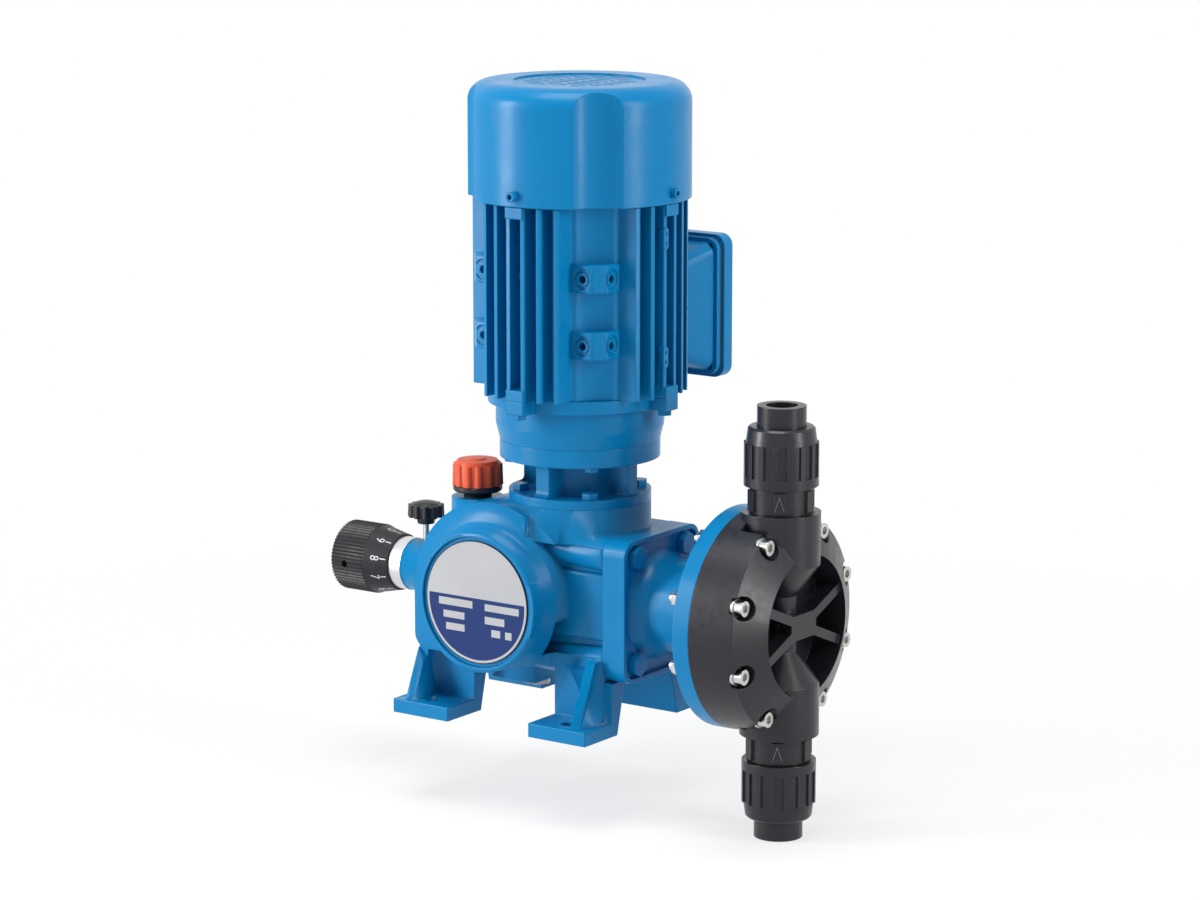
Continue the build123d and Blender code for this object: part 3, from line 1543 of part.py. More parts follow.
screw_seat_x = head_back_x + head_screw_plane - 2 * m6
head_nut_x = disc_back_x - head_nut_height
screw_length = screw_seat_x - head_nut_x + m6
write("pump_head", pump_head())
write(
    "head_screws",
    *(socket_screw("X", screw_seat_x, screw_length, m6 - running_gap, spot, 1) for spot in head_screws_at()),
)
write(
    "head_washers",
    *(bar("X", screw_seat_x - washer_thickness, screw_seat_x, washer_radius, spot, hole=m6 + seat_gap)
      for spot in head_screws_at()),
)
write(
    "head_nuts",
    *(hexagon("X", head_nut_x, disc_back_x, hex_flats_per_radius * m6, spot)
      - bar("X", head_nut_x, disc_back_x, m6, spot) for spot in head_screws_at()),
)


# Valves and pipe unions; both valves let liquid flow upwards

valve_end = valve_base + valve_collar_length + valve_thread_length
VALVE = (valve_x, 0)


def lower_end(toward):
    """Height of the lower end of the upper or the lower valve body."""
    return shaft_height + (valve_base - valve_spigot_length if toward > 0 else -valve_end)


def valve_body(toward):
    """Valve cartridge: spigot in the head, lugged collar, thread for the union nut, seat and ball chamber."""
    collar_end = valve_base + valve_collar_length
    outline = [
        (valve_base - valve_spigot_length, 0),
        (valve_base - valve_spigot_length, valve_spigot_radius),
        (valve_base, valve_spigot_radius),
        (valve_base, valve_collar_radius),
        (collar_end, valve_collar_radius),
        (collar_end, valve_thread_radius),
        (valve_end, valve_thread_radius),
        (valve_end, 0),
    ]
    solid = turned("Z", outline, VALVE)
    margin = valve_lug_rise
    lug = block((valve_x, valve_x + valve_collar_radius + valve_lug_rise),
                (-valve_lug_width / 2, valve_lug_width / 2),
                (valve_base + margin, collar_end - margin))
    for index in range(valve_lugs):
        solid += lug.rotate(Axis((valve_x, 0, 0), (0, 0, 1)), index * 360 / valve_lugs)
    ring_low = valve_end - ring_section
    groove = bar("Z", ring_low - ring_section, valve_end, ring_radius + ring_section, VALVE,
                 hole=ring_radius - ring_section)
    solid -= groove
    if toward < 0:
        solid = mirror(solid, Plane.XY)
    solid = Pos(0, 0, shaft_height) * solid
    low = lower_end(toward)
    length = valve_end - valve_base + valve_spigot_length
    ball_top = low + seat_length + ball_rise + ball_lift + ball_radius + running_gap
    solid -= bar("Z", low, low + seat_length, seat_radius, VALVE)
    solid -= bar("Z", low + seat_length, ball_top, valve_bore_radius, VALVE)
    return solid - bar("Z", ball_top, low + length, valve_outlet_radius, VALVE)


def valve_seat(toward):
    low = lower_end(toward)
    return bar("Z", low, low + seat_length, seat_radius, VALVE, hole=seat_bore_radius)


def ball(toward):
    return Pos(valve_x, 0, lower_end(toward) + seat_length + ball_rise) * Sphere(ball_radius)


def face_ring(toward):
    """Round section sealing ring in the groove of a valve body."""
    height = shaft_height + toward * (valve_end - ring_section)
    return Pos(valve_x, 0, height) * Torus(ring_radius, ring_section - ring_squeeze)


def union_nut(toward):
    """Ribbed union nut that draws the socket end on to the valve body."""
    start = valve_base + valve_collar_length + sliding_gap
    end = start + nut_length
    shoulder = valve_end + union_flange_length + sliding_gap
    neck = end - nut_collar_length + nut_band_length
    outline = [
        (start, valve_thread_radius + seat_gap),
        (start, nut_radius + nut_rib_rise),
        (start + nut_band_length, nut_radius + nut_rib_rise),
        (start + nut_band_length, nut_radius),
        (neck, nut_radius),
        (end - nut_rib_rise, nut_radius - nut_rib_rise),
        (end, nut_radius - 2 * nut_rib_rise),
        (end, union_radius + seat_gap),
        (shoulder, union_radius + seat_gap),
        (shoulder, valve_thread_radius + seat_gap),
    ]
    solid = turned("Z", outline, VALVE)
    rib = block((valve_x + valve_thread_radius + nut_rib_rise, valve_x + nut_radius + nut_rib_rise),
                (-nut_rib_width / 2, nut_rib_width / 2), (start + nut_band_length, neck))
    for index in range(nut_ribs):
        solid += rib.rotate(Axis((valve_x, 0, 0), (0, 0, 1)), index * 360 / nut_ribs)
    if toward < 0:
        solid = mirror(solid, Plane.XY)
    return Pos(0, 0, shaft_height) * solid


def socket_end(toward):
    """Plain socket for a glued pipe, with the flange that the union nut holds."""
    start = valve_end + seat_gap
    end = valve_base + union_length
    outline = [
        (start, union_flow_radius),
        (start, union_flange_radius),
        (start + union_flange_length, union_flange_radius),
        (start + union_flange_length, union_radius),
        (end, union_radius),
        (end, union_bore_radius),
        (end - union_socket_length, union_bore_radius),
        (end - union_socket_length, union_flow_radius),
    ]
    solid = turned("Z", outline, VALVE)
    if toward < 0:
        solid = mirror(solid, Plane.XY)
    return Pos(0, 0, shaft_height) * solid


ball_rise = sqrt(ball_radius ** 2 - seat_bore_radius ** 2) + running_gap
write("valve_bodies", valve_body(-1), valve_body(1))
write("valve_seats", valve_seat(-1), valve_seat(1))
write("suction_ball", ball(-1))
write("discharge_ball", ball(1))
write("sealing_rings", face_ring(-1), face_ring(1))
write("suction_union_nut", union_nut(-1))
write("discharge_union_nut", union_nut(1))
write("socket_ends", socket_end(-1), socket_end(1))
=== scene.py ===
import math

import bmesh
import bpy
from mathutils import Matrix, Vector


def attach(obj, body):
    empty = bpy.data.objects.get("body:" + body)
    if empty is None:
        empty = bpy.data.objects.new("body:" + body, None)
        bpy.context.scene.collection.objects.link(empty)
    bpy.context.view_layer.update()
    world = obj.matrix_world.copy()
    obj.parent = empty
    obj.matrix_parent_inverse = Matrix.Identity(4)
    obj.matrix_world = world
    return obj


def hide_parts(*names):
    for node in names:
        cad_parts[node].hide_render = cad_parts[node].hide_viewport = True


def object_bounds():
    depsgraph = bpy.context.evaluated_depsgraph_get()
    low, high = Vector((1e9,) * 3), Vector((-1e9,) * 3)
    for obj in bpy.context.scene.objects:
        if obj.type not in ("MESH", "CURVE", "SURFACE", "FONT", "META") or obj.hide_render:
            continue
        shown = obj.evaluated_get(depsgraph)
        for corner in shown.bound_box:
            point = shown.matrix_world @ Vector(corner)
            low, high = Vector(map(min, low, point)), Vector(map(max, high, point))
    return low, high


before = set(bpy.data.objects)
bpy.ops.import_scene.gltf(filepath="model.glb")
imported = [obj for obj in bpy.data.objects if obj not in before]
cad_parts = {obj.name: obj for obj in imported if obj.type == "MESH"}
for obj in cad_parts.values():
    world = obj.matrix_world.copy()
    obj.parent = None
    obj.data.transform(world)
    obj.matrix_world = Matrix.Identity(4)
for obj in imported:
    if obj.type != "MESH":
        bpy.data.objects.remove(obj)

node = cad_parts
cad_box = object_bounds()


# Studio: a pale floor under the lowest union, soft light from large panels, and a long lens at the
# height of the motor. The background reads as plain white paper.

def camera_at(azimuth, elevation, distance, target, lens):
    back = Vector((
        math.sin(azimuth) * math.cos(elevation),
        -math.cos(azimuth) * math.cos(elevation),
        math.sin(elevation),
    ))
    right = Vector((math.cos(azimuth), math.sin(azimuth), 0))
    up = back.cross(right)
    data = bpy.data.cameras.new("studio_camera")
    data.lens = lens
    data.sensor_width = 36
    data.clip_end = 40
    camera = bpy.data.objects.new("studio_camera", data)
    turn = Matrix((right, up, back)).transposed().to_4x4()
    camera.matrix_world = Matrix.Translation(target + back * distance) @ turn
    bpy.context.scene.collection.objects.link(camera)
    bpy.context.scene.camera = camera


view_angle, view_rise = math.radians(35.17), math.radians(11.05)
aside = Vector((math.cos(view_angle), math.sin(view_angle), 0))
view_target = Vector((0.0232, 0, 0.1732)) + 0.01276 * aside
camera_at(view_angle, view_rise, distance=2.49832, target=view_target, lens=116.914)


def soft_panel(name, place, aim, width, height, power):
    light = bpy.data.lights.new(name, "AREA")
    light.shape = "RECTANGLE"
    light.size = width
    light.size_y = height
    light.energy = power
    lamp = bpy.data.objects.new(name, light)
    lamp.location = place
    lamp.rotation_euler = (Vector(aim) - Vector(place)).to_track_quat("-Z", "Y").to_euler()
    bpy.context.scene.collection.objects.link(lamp)


soft_panel("panel_left", (-1.35, -1.45, 0.6), (0, 0, 0.12), 0.55, 1.4, 42)
soft_panel("panel_right", (1.75, 0.1, 0.7), (0, 0, 0.18), 0.4, 1.5, 22)
soft_panel("panel_top", (0.0, -0.3, 1.9), (0, 0, 0.15), 1.0, 1.0, 26)
bpy.context.scene.view_settings.view_transform = "Standard"


class Wire:
    """A socket in a node tree, on which plain arithmetic adds Math nodes."""

    def __init__(self, owner, socket):
        self.owner = owner
        self.socket = socket

    def math(self, operation, other=None, swap=False):
        values = {0: self} if other is None else {0: self, 1: other}
        if swap:
            values = {0: other, 1: self}
        return self.owner.wire("ShaderNodeMath", {"operation": operation}, values)

    def __add__(self, other):
        return self.math("ADD", other)

    def __sub__(self, other):
        return self.math("SUBTRACT", other)

    def __rsub__(self, other):
        return self.math("SUBTRACT", other, swap=True)

    def __mul__(self, other):
        return self.math("MULTIPLY", other)

    def __rtruediv__(self, other):
        return self.math("DIVIDE", other, swap=True)

    def __lt__(self, other):
        return self.math("LESS_THAN", other)

    def __gt__(self, other):
        return self.math("GREATER_THAN", other)

    def __abs__(self):
        return self.math("ABSOLUTE")


class Nodes:
    """A node tree, in which one call makes a node with its settings and its values or links."""

    def __init__(self, tree):
        self.tree = tree

    def add(self, kind, settings=None, values=None):
        made = self.tree.nodes.new(kind)
        for key, value in (settings or {}).items():
            setattr(made, key, value)
        for key, value in (values or {}).items():
            for each in value if isinstance(value, list) else [value]:
                if isinstance(each, Wire):
                    self.tree.links.new(each.socket, made.inputs[key])
                else:
                    made.inputs[key].default_value = each
        return made

    def wire(self, kind, settings=None, values=None, output=0):
        """One output of a new node."""
        return Wire(self, self.add(kind, settings, values).outputs[output])

    def seen(self):
        """1 for what the camera, a mirror or glass shows, and 0 for the light that falls on things."""
        rays = self.add("ShaderNodeLightPath").outputs
        shown = Wire(self, rays["Is Camera Ray"])
        for name in ("Is Glossy Ray", "Is Transmission Ray"):
            shown = shown.math("MAXIMUM", Wire(self, rays[name]))
        return shown

    def blend(self, share, first, second, end):
        """Mixes two shaders by the share of the second, as what the tree's end node shows."""
        mixed = self.wire("ShaderNodeMixShader", values={0: share, 1: first, 2: second})
        self.tree.links.new(mixed.socket, self.tree.nodes[end].inputs["Surface"])


class Surface(Nodes):
    """One material: a shader with its plain values, and the nodes that vary it."""

    def __init__(self, name, **plain):
        self.material = bpy.data.materials.new(name)
        self.material.use_nodes = True
        super().__init__(self.material.node_tree)
        self.shader = self.tree.nodes["Principled BSDF"]
        for label, value in plain.items():
            self.shader.inputs[label.replace("_", " ")].default_value = value

    def place(self):
        """Object coordinates as a vector wire."""
        return self.wire("ShaderNodeTexCoord", output="Object")

    def axes(self):
        """The three object coordinates as number wires."""
        made = self.add("ShaderNodeSeparateXYZ", values={0: self.place()})
        return [Wire(self, socket) for socket in made.outputs]

    def noise(self, scale, detail=3.0):
        values = {"Vector": self.place(), "Scale": scale, "Detail": detail}
        return self.wire("ShaderNodeTexNoise", values=values, output="Fac")

    def between(self, wire, low, high, start, end):
        """The wire's stretch from low to high, spread over start to end and held there."""
        return self.wire("ShaderNodeMapRange", values={0: wire, 1: low, 2: high, 3: start, 4: end})

    def mix(self, share, first, second):
        return self.wire("ShaderNodeMix", {"data_type": "RGBA"}, {0: share, 6: first, 7: second}, output=2)

    def drive(self, label, wire):
        self.tree.links.new(wire.socket, self.shader.inputs[label])

    def relief(self, height, distance, strength, edge=None):
        """Fine relief, with the sharp edges of a piece rounded by a radius where one is given."""
        values = {"Height": height, "Distance": distance, "Strength": strength}
        if edge:
            values["Normal"] = self.wire("ShaderNodeBevel", {"samples": 8}, {"Radius": edge})
        self.drive("Normal", self.wire("ShaderNodeBump", values=values))

    def uncover(self, share, shader):
        """Shows another shader in place of this one where the share is 1."""
        self.blend(share, Wire(self, self.shader.outputs[0]), shader, "Material Output")

    def on(self, *pieces):
        for piece in pieces:
            piece.data.materials.clear()
            piece.data.materials.append(self.material)


world = bpy.data.worlds.new("studio_world")
bpy.context.scene.world = world
world.use_nodes = True
sky = Nodes(world.node_tree)
dim = sky.wire("ShaderNodeBackground", values={"Color": (0.95, 0.98, 1.0, 1), "Strength": 0.2})
white = sky.wire("ShaderNodeBackground", values={"Color": (1, 1, 1, 1), "Strength": 1.0})
sky.blend(sky.seen(), dim, white, "World Output")

floor_height = cad_box[0][2] - 0.0005
floor_reach = 16.0
floor_corners = [(-1, -1), (1, -1), (1, 1), (-1, 1)]
floor_points = [(x * floor_reach, y * floor_reach, floor_height) for x, y in floor_corners]
floor_mesh = bpy.data.meshes.new("studio_floor")
floor_mesh.from_pydata(floor_points, [], [(0, 1, 2, 3)])
floor = bpy.data.objects.new("studio_floor", floor_mesh)
bpy.context.scene.collection.objects.link(floor)
paper = Surface("studio_paper", Base_Color=(0.86, 0.86, 0.87, 1), Roughness=0.95, Specular_IOR_Level=0.0)
across, along, _ = paper.axes()
reach = (across * across + along * along).math("SQRT")
whiteness = paper.between(reach, 0.25, 0.8, 0.72, 1.0)
glow = paper.wire("ShaderNodeEmission", values={"Color": (1, 1, 1, 1), "Strength": 1.0})
paper.uncover(paper.seen() * whiteness, glow)
paper.on(floor)


# Gearbox casting with its feet: cast aluminium, machined on its faces and sprayed in blue gloss enamel.
# The drum's flanks are cut back on the casting's own mesh, so that the waist with its four bolt ridges
# and raised side panels shows between the drum and the square front.

enamel = Surface("blue_enamel", Specular_IOR_Level=0.16, Coat_Weight=0.04, Coat_Roughness=0.12)
drift = enamel.noise(9.0, 2.0)
enamel.drive("Base Color", enamel.mix(drift, (0.0008, 0.162, 0.375, 1), (0.0014, 0.190, 0.430, 1)))
grain = enamel.noise(60.0, 3.0)
enamel.drive("Roughness", enamel.between(grain, 0.35, 0.65, 0.27, 0.36))
enamel.relief(enamel.noise(330.0, 2.0), 0.00007, 0.6, edge=0.0012)


def mesh_piece(name, builder):
    """An object at the origin whose mesh the builder fills."""
    shape = bmesh.new()
    builder(shape)
    bmesh.ops.recalc_face_normals(shape, faces=shape.faces)
    mesh = bpy.data.meshes.new(name)
    shape.to_mesh(mesh)
    shape.free()
    piece = bpy.data.objects.new(name, mesh)
    bpy.context.scene.collection.objects.link(piece)
    return piece


def prism(shape, outline, low, high, axis="Y"):
    """A closed outline of two coordinates, carried along the third from low to high."""
    def point(first, second, along):
        return {"X": (along, first, second), "Y": (first, along, second), "Z": (first, second, along)}[axis]
    near = [shape.verts.new(point(*corner, low)) for corner in outline]
    far = [shape.verts.new(point(*corner, high)) for corner in outline]
    shape.faces.new(near)
    shape.faces.new(far[::-1])
    count = len(outline)
    for index in range(count):
        after = (index + 1) % count
        shape.faces.new((near[index], near[after], far[after], far[index]))


def circle(shape, along, radius, steps, turn):
    """A ring of vertices about the local Z axis, placed by a matrix."""
    angles = [2 * math.pi * step / steps for step in range(steps)]
    points = [Vector((radius * math.cos(angle), radius * math.sin(angle), along)) for angle in angles]
    return [shape.verts.new(turn @ point) for point in points]


def turned(shape, profile, steps, turn=Matrix()):
    """A profile of (along, radius) points turned about the local Z axis into a closed body."""
    rings = []
    for along, radius in profile:
        if radius < 1e-6:
            rings.append([shape.verts.new(turn @ Vector((0, 0, along)))])
        else:
            rings.append(circle(shape, along, radius, steps, turn))
    for one, other in zip(rings, rings[1:]):
        for step in range(steps):
            after = (step + 1) % steps
            corners = [one[step % len(one)], one[after % len(one)],
                       other[after % len(other)], other[step % len(other)]]
            shape.faces.new(list(dict.fromkeys(corners)))
    for ring in (rings[0], rings[-1]):
        if len(ring) > 1:
            shape.faces.new(ring)


def annulus(shape, profile, steps, turn):
    """A closed profile of (along, radius) points, all off the axis, turned into a ring."""
    rings = [circle(shape, along, radius, steps, turn) for along, radius in profile]
    for one, other in zip(rings, rings[1:] + rings[:1]):
        for step in range(steps):
            after = (step + 1) % steps
            shape.faces.new((one[step], one[after], other[after], other[step]))


def settle(piece, modifiers=(), turn=None, angle=35):
    """Applies the modifiers to the piece's mesh, moves the mesh by the turn and shades it by angle."""
    for kind, values in modifiers:
        made = piece.modifiers.new(kind.lower(), kind)
        for key, value in values.items():
            setattr(made, key, value)
    ready = piece.evaluated_get(bpy.context.evaluated_depsgraph_get())
    mesh = bpy.data.meshes.new_from_object(ready)
    piece.modifiers.clear()
    if turn:
        mesh.transform(turn)
    mesh.shade_smooth()
    mesh.set_sharp_from_angle(angle=math.radians(angle))
    piece.data = mesh
    return piece


gear_x, shaft_z = -0.0108, 0.081
drum_core, rim_edge, past_drum = 0.051, 0.0456, 0.0710
drum_side, rim_side, past_side = 0.0505, 0.0545, 0.068
waist_back, waist_front, waist_top, waist_low = 0.0162, 0.0702, 0.121, 0.0500
waist_inside, waist_end = 0.020, 0.0705
ridge_side, waist_side, panel_side = 0.031, 0.0338, 0.0372
square_front, square_low = 0.0600, 0.0395
neck_front, neck_low, neck_top = 0.0601, 0.12085, 0.1450


def around_gear(radius, start, end, steps=40):
    """Points of an arc about the gear's axis, between two angles in degrees."""
    angles = [math.radians(start + (end - start) * step / steps) for step in range(steps + 1)]
    return [(gear_x + radius * math.cos(a), shaft_z + radius * math.sin(a)) for a in angles]


def ring_cut(shape):
    profile = [(-drum_side, drum_core), (-rim_side, rim_edge), (-past_side, rim_edge),
               (-past_side, past_drum), (-drum_side, past_drum)]
    for side in (-1, 1):
        face_on = Matrix.Translation((gear_x, 0, shaft_z)) @ Matrix.Rotation(math.radians(90 * side), 4, "X")
        annulus(shape, profile, 96, face_on)


def flank_cut(shape, outline, inner, outer):
    """One outline cut away on both sides, from the inner to the outer distance off the middle."""
    for side in (-1, 1):
        prism(shape, outline, *sorted((side * inner, side * outer)))


# The outlines overlap by a tenth of a millimetre or less. Each cutter is a mesh of its own and is
# applied in turn, because one mesh of overlapping cutters takes the whole casting away.
square_outline = around_gear(drum_core, -54.4, 51.66) + [
    (square_front, waist_top), (square_front, square_low)]
neck_outline = around_gear(drum_core + 0.0001, 51.2, 58.03) + [
    (waist_back, neck_top), (neck_front, neck_top), (neck_front, neck_low)]
waist_outline = around_gear(drum_core + 0.00005, -37.4, 51.6) + [
    (waist_front, waist_top - 0.0001), (waist_front, waist_low)]
cutters = [mesh_piece("flank_cutter", ring_cut)]
for outline, inner, outer in (
    (square_outline, 0.0422, 0.0601), (neck_outline, 0.0462, 0.0602), (waist_outline, 0.0295, 0.0424),
):
    cutters.append(mesh_piece("flank_cutter", lambda shape: flank_cut(shape, outline, inner, outer)))


def waist(shape):
    """Four tapered bolt ridges, and on each side the waist's wall with a raised panel."""
    along_x = Matrix.Rotation(math.radians(90), 4, "Y")
    ridge = [(waist_inside, 0.0075), (0.034, 0.0086), (0.052, 0.0098), (waist_end, 0.0110)]
    for side in (-1, 1):
        for height in (0.0465, 0.1155):
            turned(shape, ridge, 40, Matrix.Translation((0, side * ridge_side, height)) @ along_x)
        for start, low, high, wall in (
            (0.0200, 0.0450, 0.1180, waist_side), (0.0270, 0.0600, 0.1040, panel_side),
        ):
            outline = [(start, low), (waist_end, low), (waist_end, high), (start, high)]
            prism(shape, outline, *sorted((side * waist_inside, side * wall)))


waist_piece = settle(mesh_piece("waist_forms", waist), [
    ("BEVEL", {"width": 0.0028, "segments": 4, "limit_method": "ANGLE"})])


def own_copy(name, source):
    """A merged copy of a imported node's mesh, to be worked on as a new piece."""
    mesh = source.data.copy()
    shape = bmesh.new()
    shape.from_mesh(mesh)
    bmesh.ops.remove_doubles(shape, verts=shape.verts, dist=0.000002)
    shape.to_mesh(mesh)
    shape.free()
    piece = bpy.data.objects.new(name, mesh)
    bpy.context.scene.collection.objects.link(piece)
    return piece


def join(piece, *others):
    """One mesh of several, left on the first piece."""
    shape = bmesh.new()
    for each in (piece, *others):
        shape.from_mesh(each.data)
    shape.to_mesh(piece.data)
    shape.free()
    for each in others:
        bpy.data.objects.remove(each)
    piece.data.shade_smooth()
    piece.data.set_sharp_from_angle(angle=math.radians(30))


casting = own_copy("gearbox_casting", node["gearbox_housing"])
for cutter in cutters:
    settle(casting, [("BOOLEAN", {"operation": "DIFFERENCE", "solver": "EXACT", "object": cutter})], angle=30)
    bpy.data.objects.remove(cutter)
join(casting, waist_piece)
enamel.on(casting)
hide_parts("gearbox_housing")
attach(casting, "base")


# Painted castings and fasteners: covers, lantern, end shields, finned frame, cowl, terminal box and
# diaphragm housing are cast and turned in the same enamel, and so are the screws sprayed with them.

painted = ["side_covers", "lantern", "front_end_shield", "motor_frame", "rear_end_shield", "fan_cover",
           "terminal_box", "terminal_box_lid", "diaphragm_housing", "lantern_bolts", "tie_screws",
           "fan_cover_screws", "earth_screw", "flange_bolts"]
enamel.on(*(node[name] for name in painted))


# Rating plate: a thin aluminium disc printed in silver above and navy below, with a fine black edge and
# empty pale fields. It is stuck into the recess of the side cover.

plate = Surface("printed_plate", Roughness=0.4, Specular_IOR_Level=0.15)
navy_top, navy_reach, edge_start = 0.0025, 0.0378, 0.0394
plate_x, _, plate_z = plate.axes()
from_middle_x = plate_x - gear_x
from_middle_z = plate_z - shaft_z
from_middle = (from_middle_x * from_middle_x + from_middle_z * from_middle_z).math("SQRT")
navy = (from_middle_z < navy_top) * (from_middle < navy_reach)
fields = [
    (-0.0301, -0.0033, -0.0045, 0.0003), (0.0065, 0.0334, -0.0047, -0.0001),
    (-0.0265, -0.0097, -0.0127, -0.0081), (0.0065, 0.0220, -0.0132, -0.0083),
    (-0.0245, -0.0097, -0.0206, -0.0160), (0.0117, 0.0187, -0.0211, -0.0163),
    (0.0226, 0.0276, -0.0213, -0.0164),
]
for low_x, high_x, low_z, high_z in fields:
    inside_x = abs(from_middle_x - (low_x + high_x) / 2) < (high_x - low_x) / 2
    inside_z = abs(from_middle_z - (low_z + high_z) / 2) < (high_z - low_z) / 2
    navy = navy * (1 - inside_x * inside_z)
edge = from_middle > edge_start
silver = plate.mix(plate.noise(30.0, 2.0), (0.37, 0.375, 0.39, 1), (0.45, 0.455, 0.47, 1))
printed = plate.mix(navy, silver, (0.010, 0.030, 0.135, 1))
plate.drive("Base Color", plate.mix(edge, printed, (0.004, 0.006, 0.02, 1)))
plate.relief(plate.noise(700.0), 0.00002, 0.4)
plate.on(node["rating_plate"])


# Drain plug: a hexagon plug of ground steel underneath the gearbox, screwed into its bottom. The same
# steel serves the clamping screw's shank and the shafts inside.

steel = Surface("ground_steel", Metallic=1.0, Roughness=0.35)
steel.drive("Base Color", steel.mix(steel.noise(90.0), (0.36, 0.36, 0.37, 1), (0.5, 0.5, 0.5, 1)))
steel.relief(steel.noise(900.0), 0.00002, 0.5, edge=0.0003)
steel.on(node["drain_plug"])


# Breather: an orange-red moulded cap with broad upright ribs and a chamfered top, which screws on to a
# black seat with a flange and a narrow neck in the gearbox's top boss.

class Form(Nodes):
    """A geometry tree with named inputs, which gives one form in one material."""

    def __init__(self, name, **inputs):
        super().__init__(bpy.data.node_groups.new(name, "GeometryNodeTree"))
        face = self.tree.interface
        for label, kind in inputs.items():
            face.new_socket(label.replace("_", " "), in_out="INPUT", socket_type="NodeSocket" + kind)
        face.new_socket("Form", in_out="OUTPUT", socket_type="NodeSocketGeometry")
        self.given = {socket.name: Wire(self, socket) for socket in self.add("NodeGroupInput").outputs}

    def turns(self, piece, count, start=0.0):
        """The piece at equal turns about the Z axis, as real meshes."""
        points = self.wire("GeometryNodePoints", values={"Count": count})
        angle = self.wire("GeometryNodeInputIndex") * (2 * math.pi / count) + start
        spin = self.wire("FunctionNodeAxisAngleToRotation", values={"Axis": (0, 0, 1), "Angle": angle})
        placed = self.wire("GeometryNodeInstanceOnPoints", values={
            "Points": points, "Instance": piece, "Rotation": spin})
        return self.wire("GeometryNodeRealizeInstances", values={0: placed})

    def close(self, form):
        """Gives the form its material and ends the tree with it."""
        painted = self.wire("GeometryNodeSetMaterial", values={
            "Geometry": form, "Material": self.given["Material"]})
        self.add("NodeGroupOutput", values={0: painted})


# Tapered bars set upright round the Z axis of a turned body, and joined to it.
ribbed = Form(
    "ribs_round_a_body", Body="Geometry", Ribs="Int", Sides="Int", Reach="Float", Thick_Low="Float",
    Thick_High="Float", Length="Float", Base="Float", Start="Float", Material="Material")
given = ribbed.given
bar = ribbed.wire("GeometryNodeMeshCone", {"fill_type": "NGON"}, {
    "Vertices": given["Sides"], "Radius Top": given["Thick High"], "Radius Bottom": given["Thick Low"],
    "Depth": given["Length"]})
shift = ribbed.wire("ShaderNodeCombineXYZ", values={"X": given["Reach"], "Z": given["Base"]})
moved = ribbed.wire("GeometryNodeTransform", values={"Geometry": bar, "Translation": shift})
ribs = ribbed.turns(moved, given["Ribs"], given["Start"])
ribbed.close(ribbed.wire("GeometryNodeJoinGeometry", values={0: [ribs, given["Body"]]}))


def with_nodes(piece, form, turn, angle=35, **values):
    """Runs the form's tree on the piece with the values by input name, and settles the result."""
    made = piece.modifiers.new("form", "NODES")
    made.node_group = form.tree
    for item in form.tree.interface.items_tree:
        label = item.name.replace(" ", "_").lower()
        if item.in_out == "INPUT" and label in values:
            made[item.identifier] = values[label]
    return settle(piece, turn=turn, angle=angle)


orange = Surface("orange_cap", Roughness=0.42, Specular_IOR_Level=0.25)
orange.drive("Base Color", orange.mix(orange.noise(40.0), (0.58, 0.068, 0.026, 1), (0.68, 0.092, 0.036, 1)))
orange.relief(orange.noise(1500.0), 0.00003, 0.5, edge=0.0006)

vent_place = Matrix.Translation((-0.041, -0.024, 0))
cap_body = [(0.1474, 0.0), (0.1474, 0.0150), (0.1612, 0.0150), (0.1638, 0.0132), (0.1642, 0.0060),
            (0.1649, 0.0056), (0.1649, 0.0)]
cap = mesh_piece("vent_cap_ribbed", lambda shape: turned(shape, cap_body, 78))
with_nodes(cap, ribbed, vent_place, material=orange.material, ribs=13, sides=14, reach=0.0136,
           thick_low=0.0030, thick_high=0.0026, length=0.0138, base=0.1476, start=0.1)
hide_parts("vent_cap")
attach(cap, "vent")

black = Surface("black_moulding", Roughness=0.36, Specular_IOR_Level=0.35)
black.drive("Base Color", black.mix(black.noise(50.0), (0.010, 0.010, 0.012, 1), (0.015, 0.015, 0.017, 1)))
black.drive("Roughness", black.between(black.noise(300.0), 0.3, 0.7, 0.3, 0.42))
black.relief(black.noise(1400.0), 0.00003, 0.5, edge=0.0005)
seat_body = [(0.1310, 0.0), (0.1310, 0.0086), (0.1398, 0.0088), (0.1415, 0.0094), (0.1429, 0.0118),
             (0.1436, 0.0152), (0.1446, 0.0160), (0.1466, 0.0160), (0.1474, 0.0154), (0.1474, 0.0)]
seat = settle(mesh_piece("vent_seat", lambda shape: turned(shape, seat_body, 72)), turn=vent_place)
black.on(seat)
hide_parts("vent_base")
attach(seat, "base")


# Stroke adjustment: a black knob with straight fine ribs and a conical dial with figures, a satin turned
# sleeve behind it, and a star knob on a thin screw that clamps the spindle.

silver_turned = Surface("turned_sleeve", Metallic=1.0, Roughness=0.32)
brushed = silver_turned.wire("ShaderNodeTexNoise", {"noise_dimensions": "1D"}, {
    "W": silver_turned.axes()[0], "Scale": 4000.0, "Detail": 2.0}, output="Fac")
silver_turned.drive("Base Color", silver_turned.mix(brushed, (0.58, 0.58, 0.6, 1), (0.78, 0.78, 0.8, 1)))
silver_turned.relief(brushed, 0.00002, 0.6, edge=0.0003)
silver_turned.on(node["scale_sleeve"])

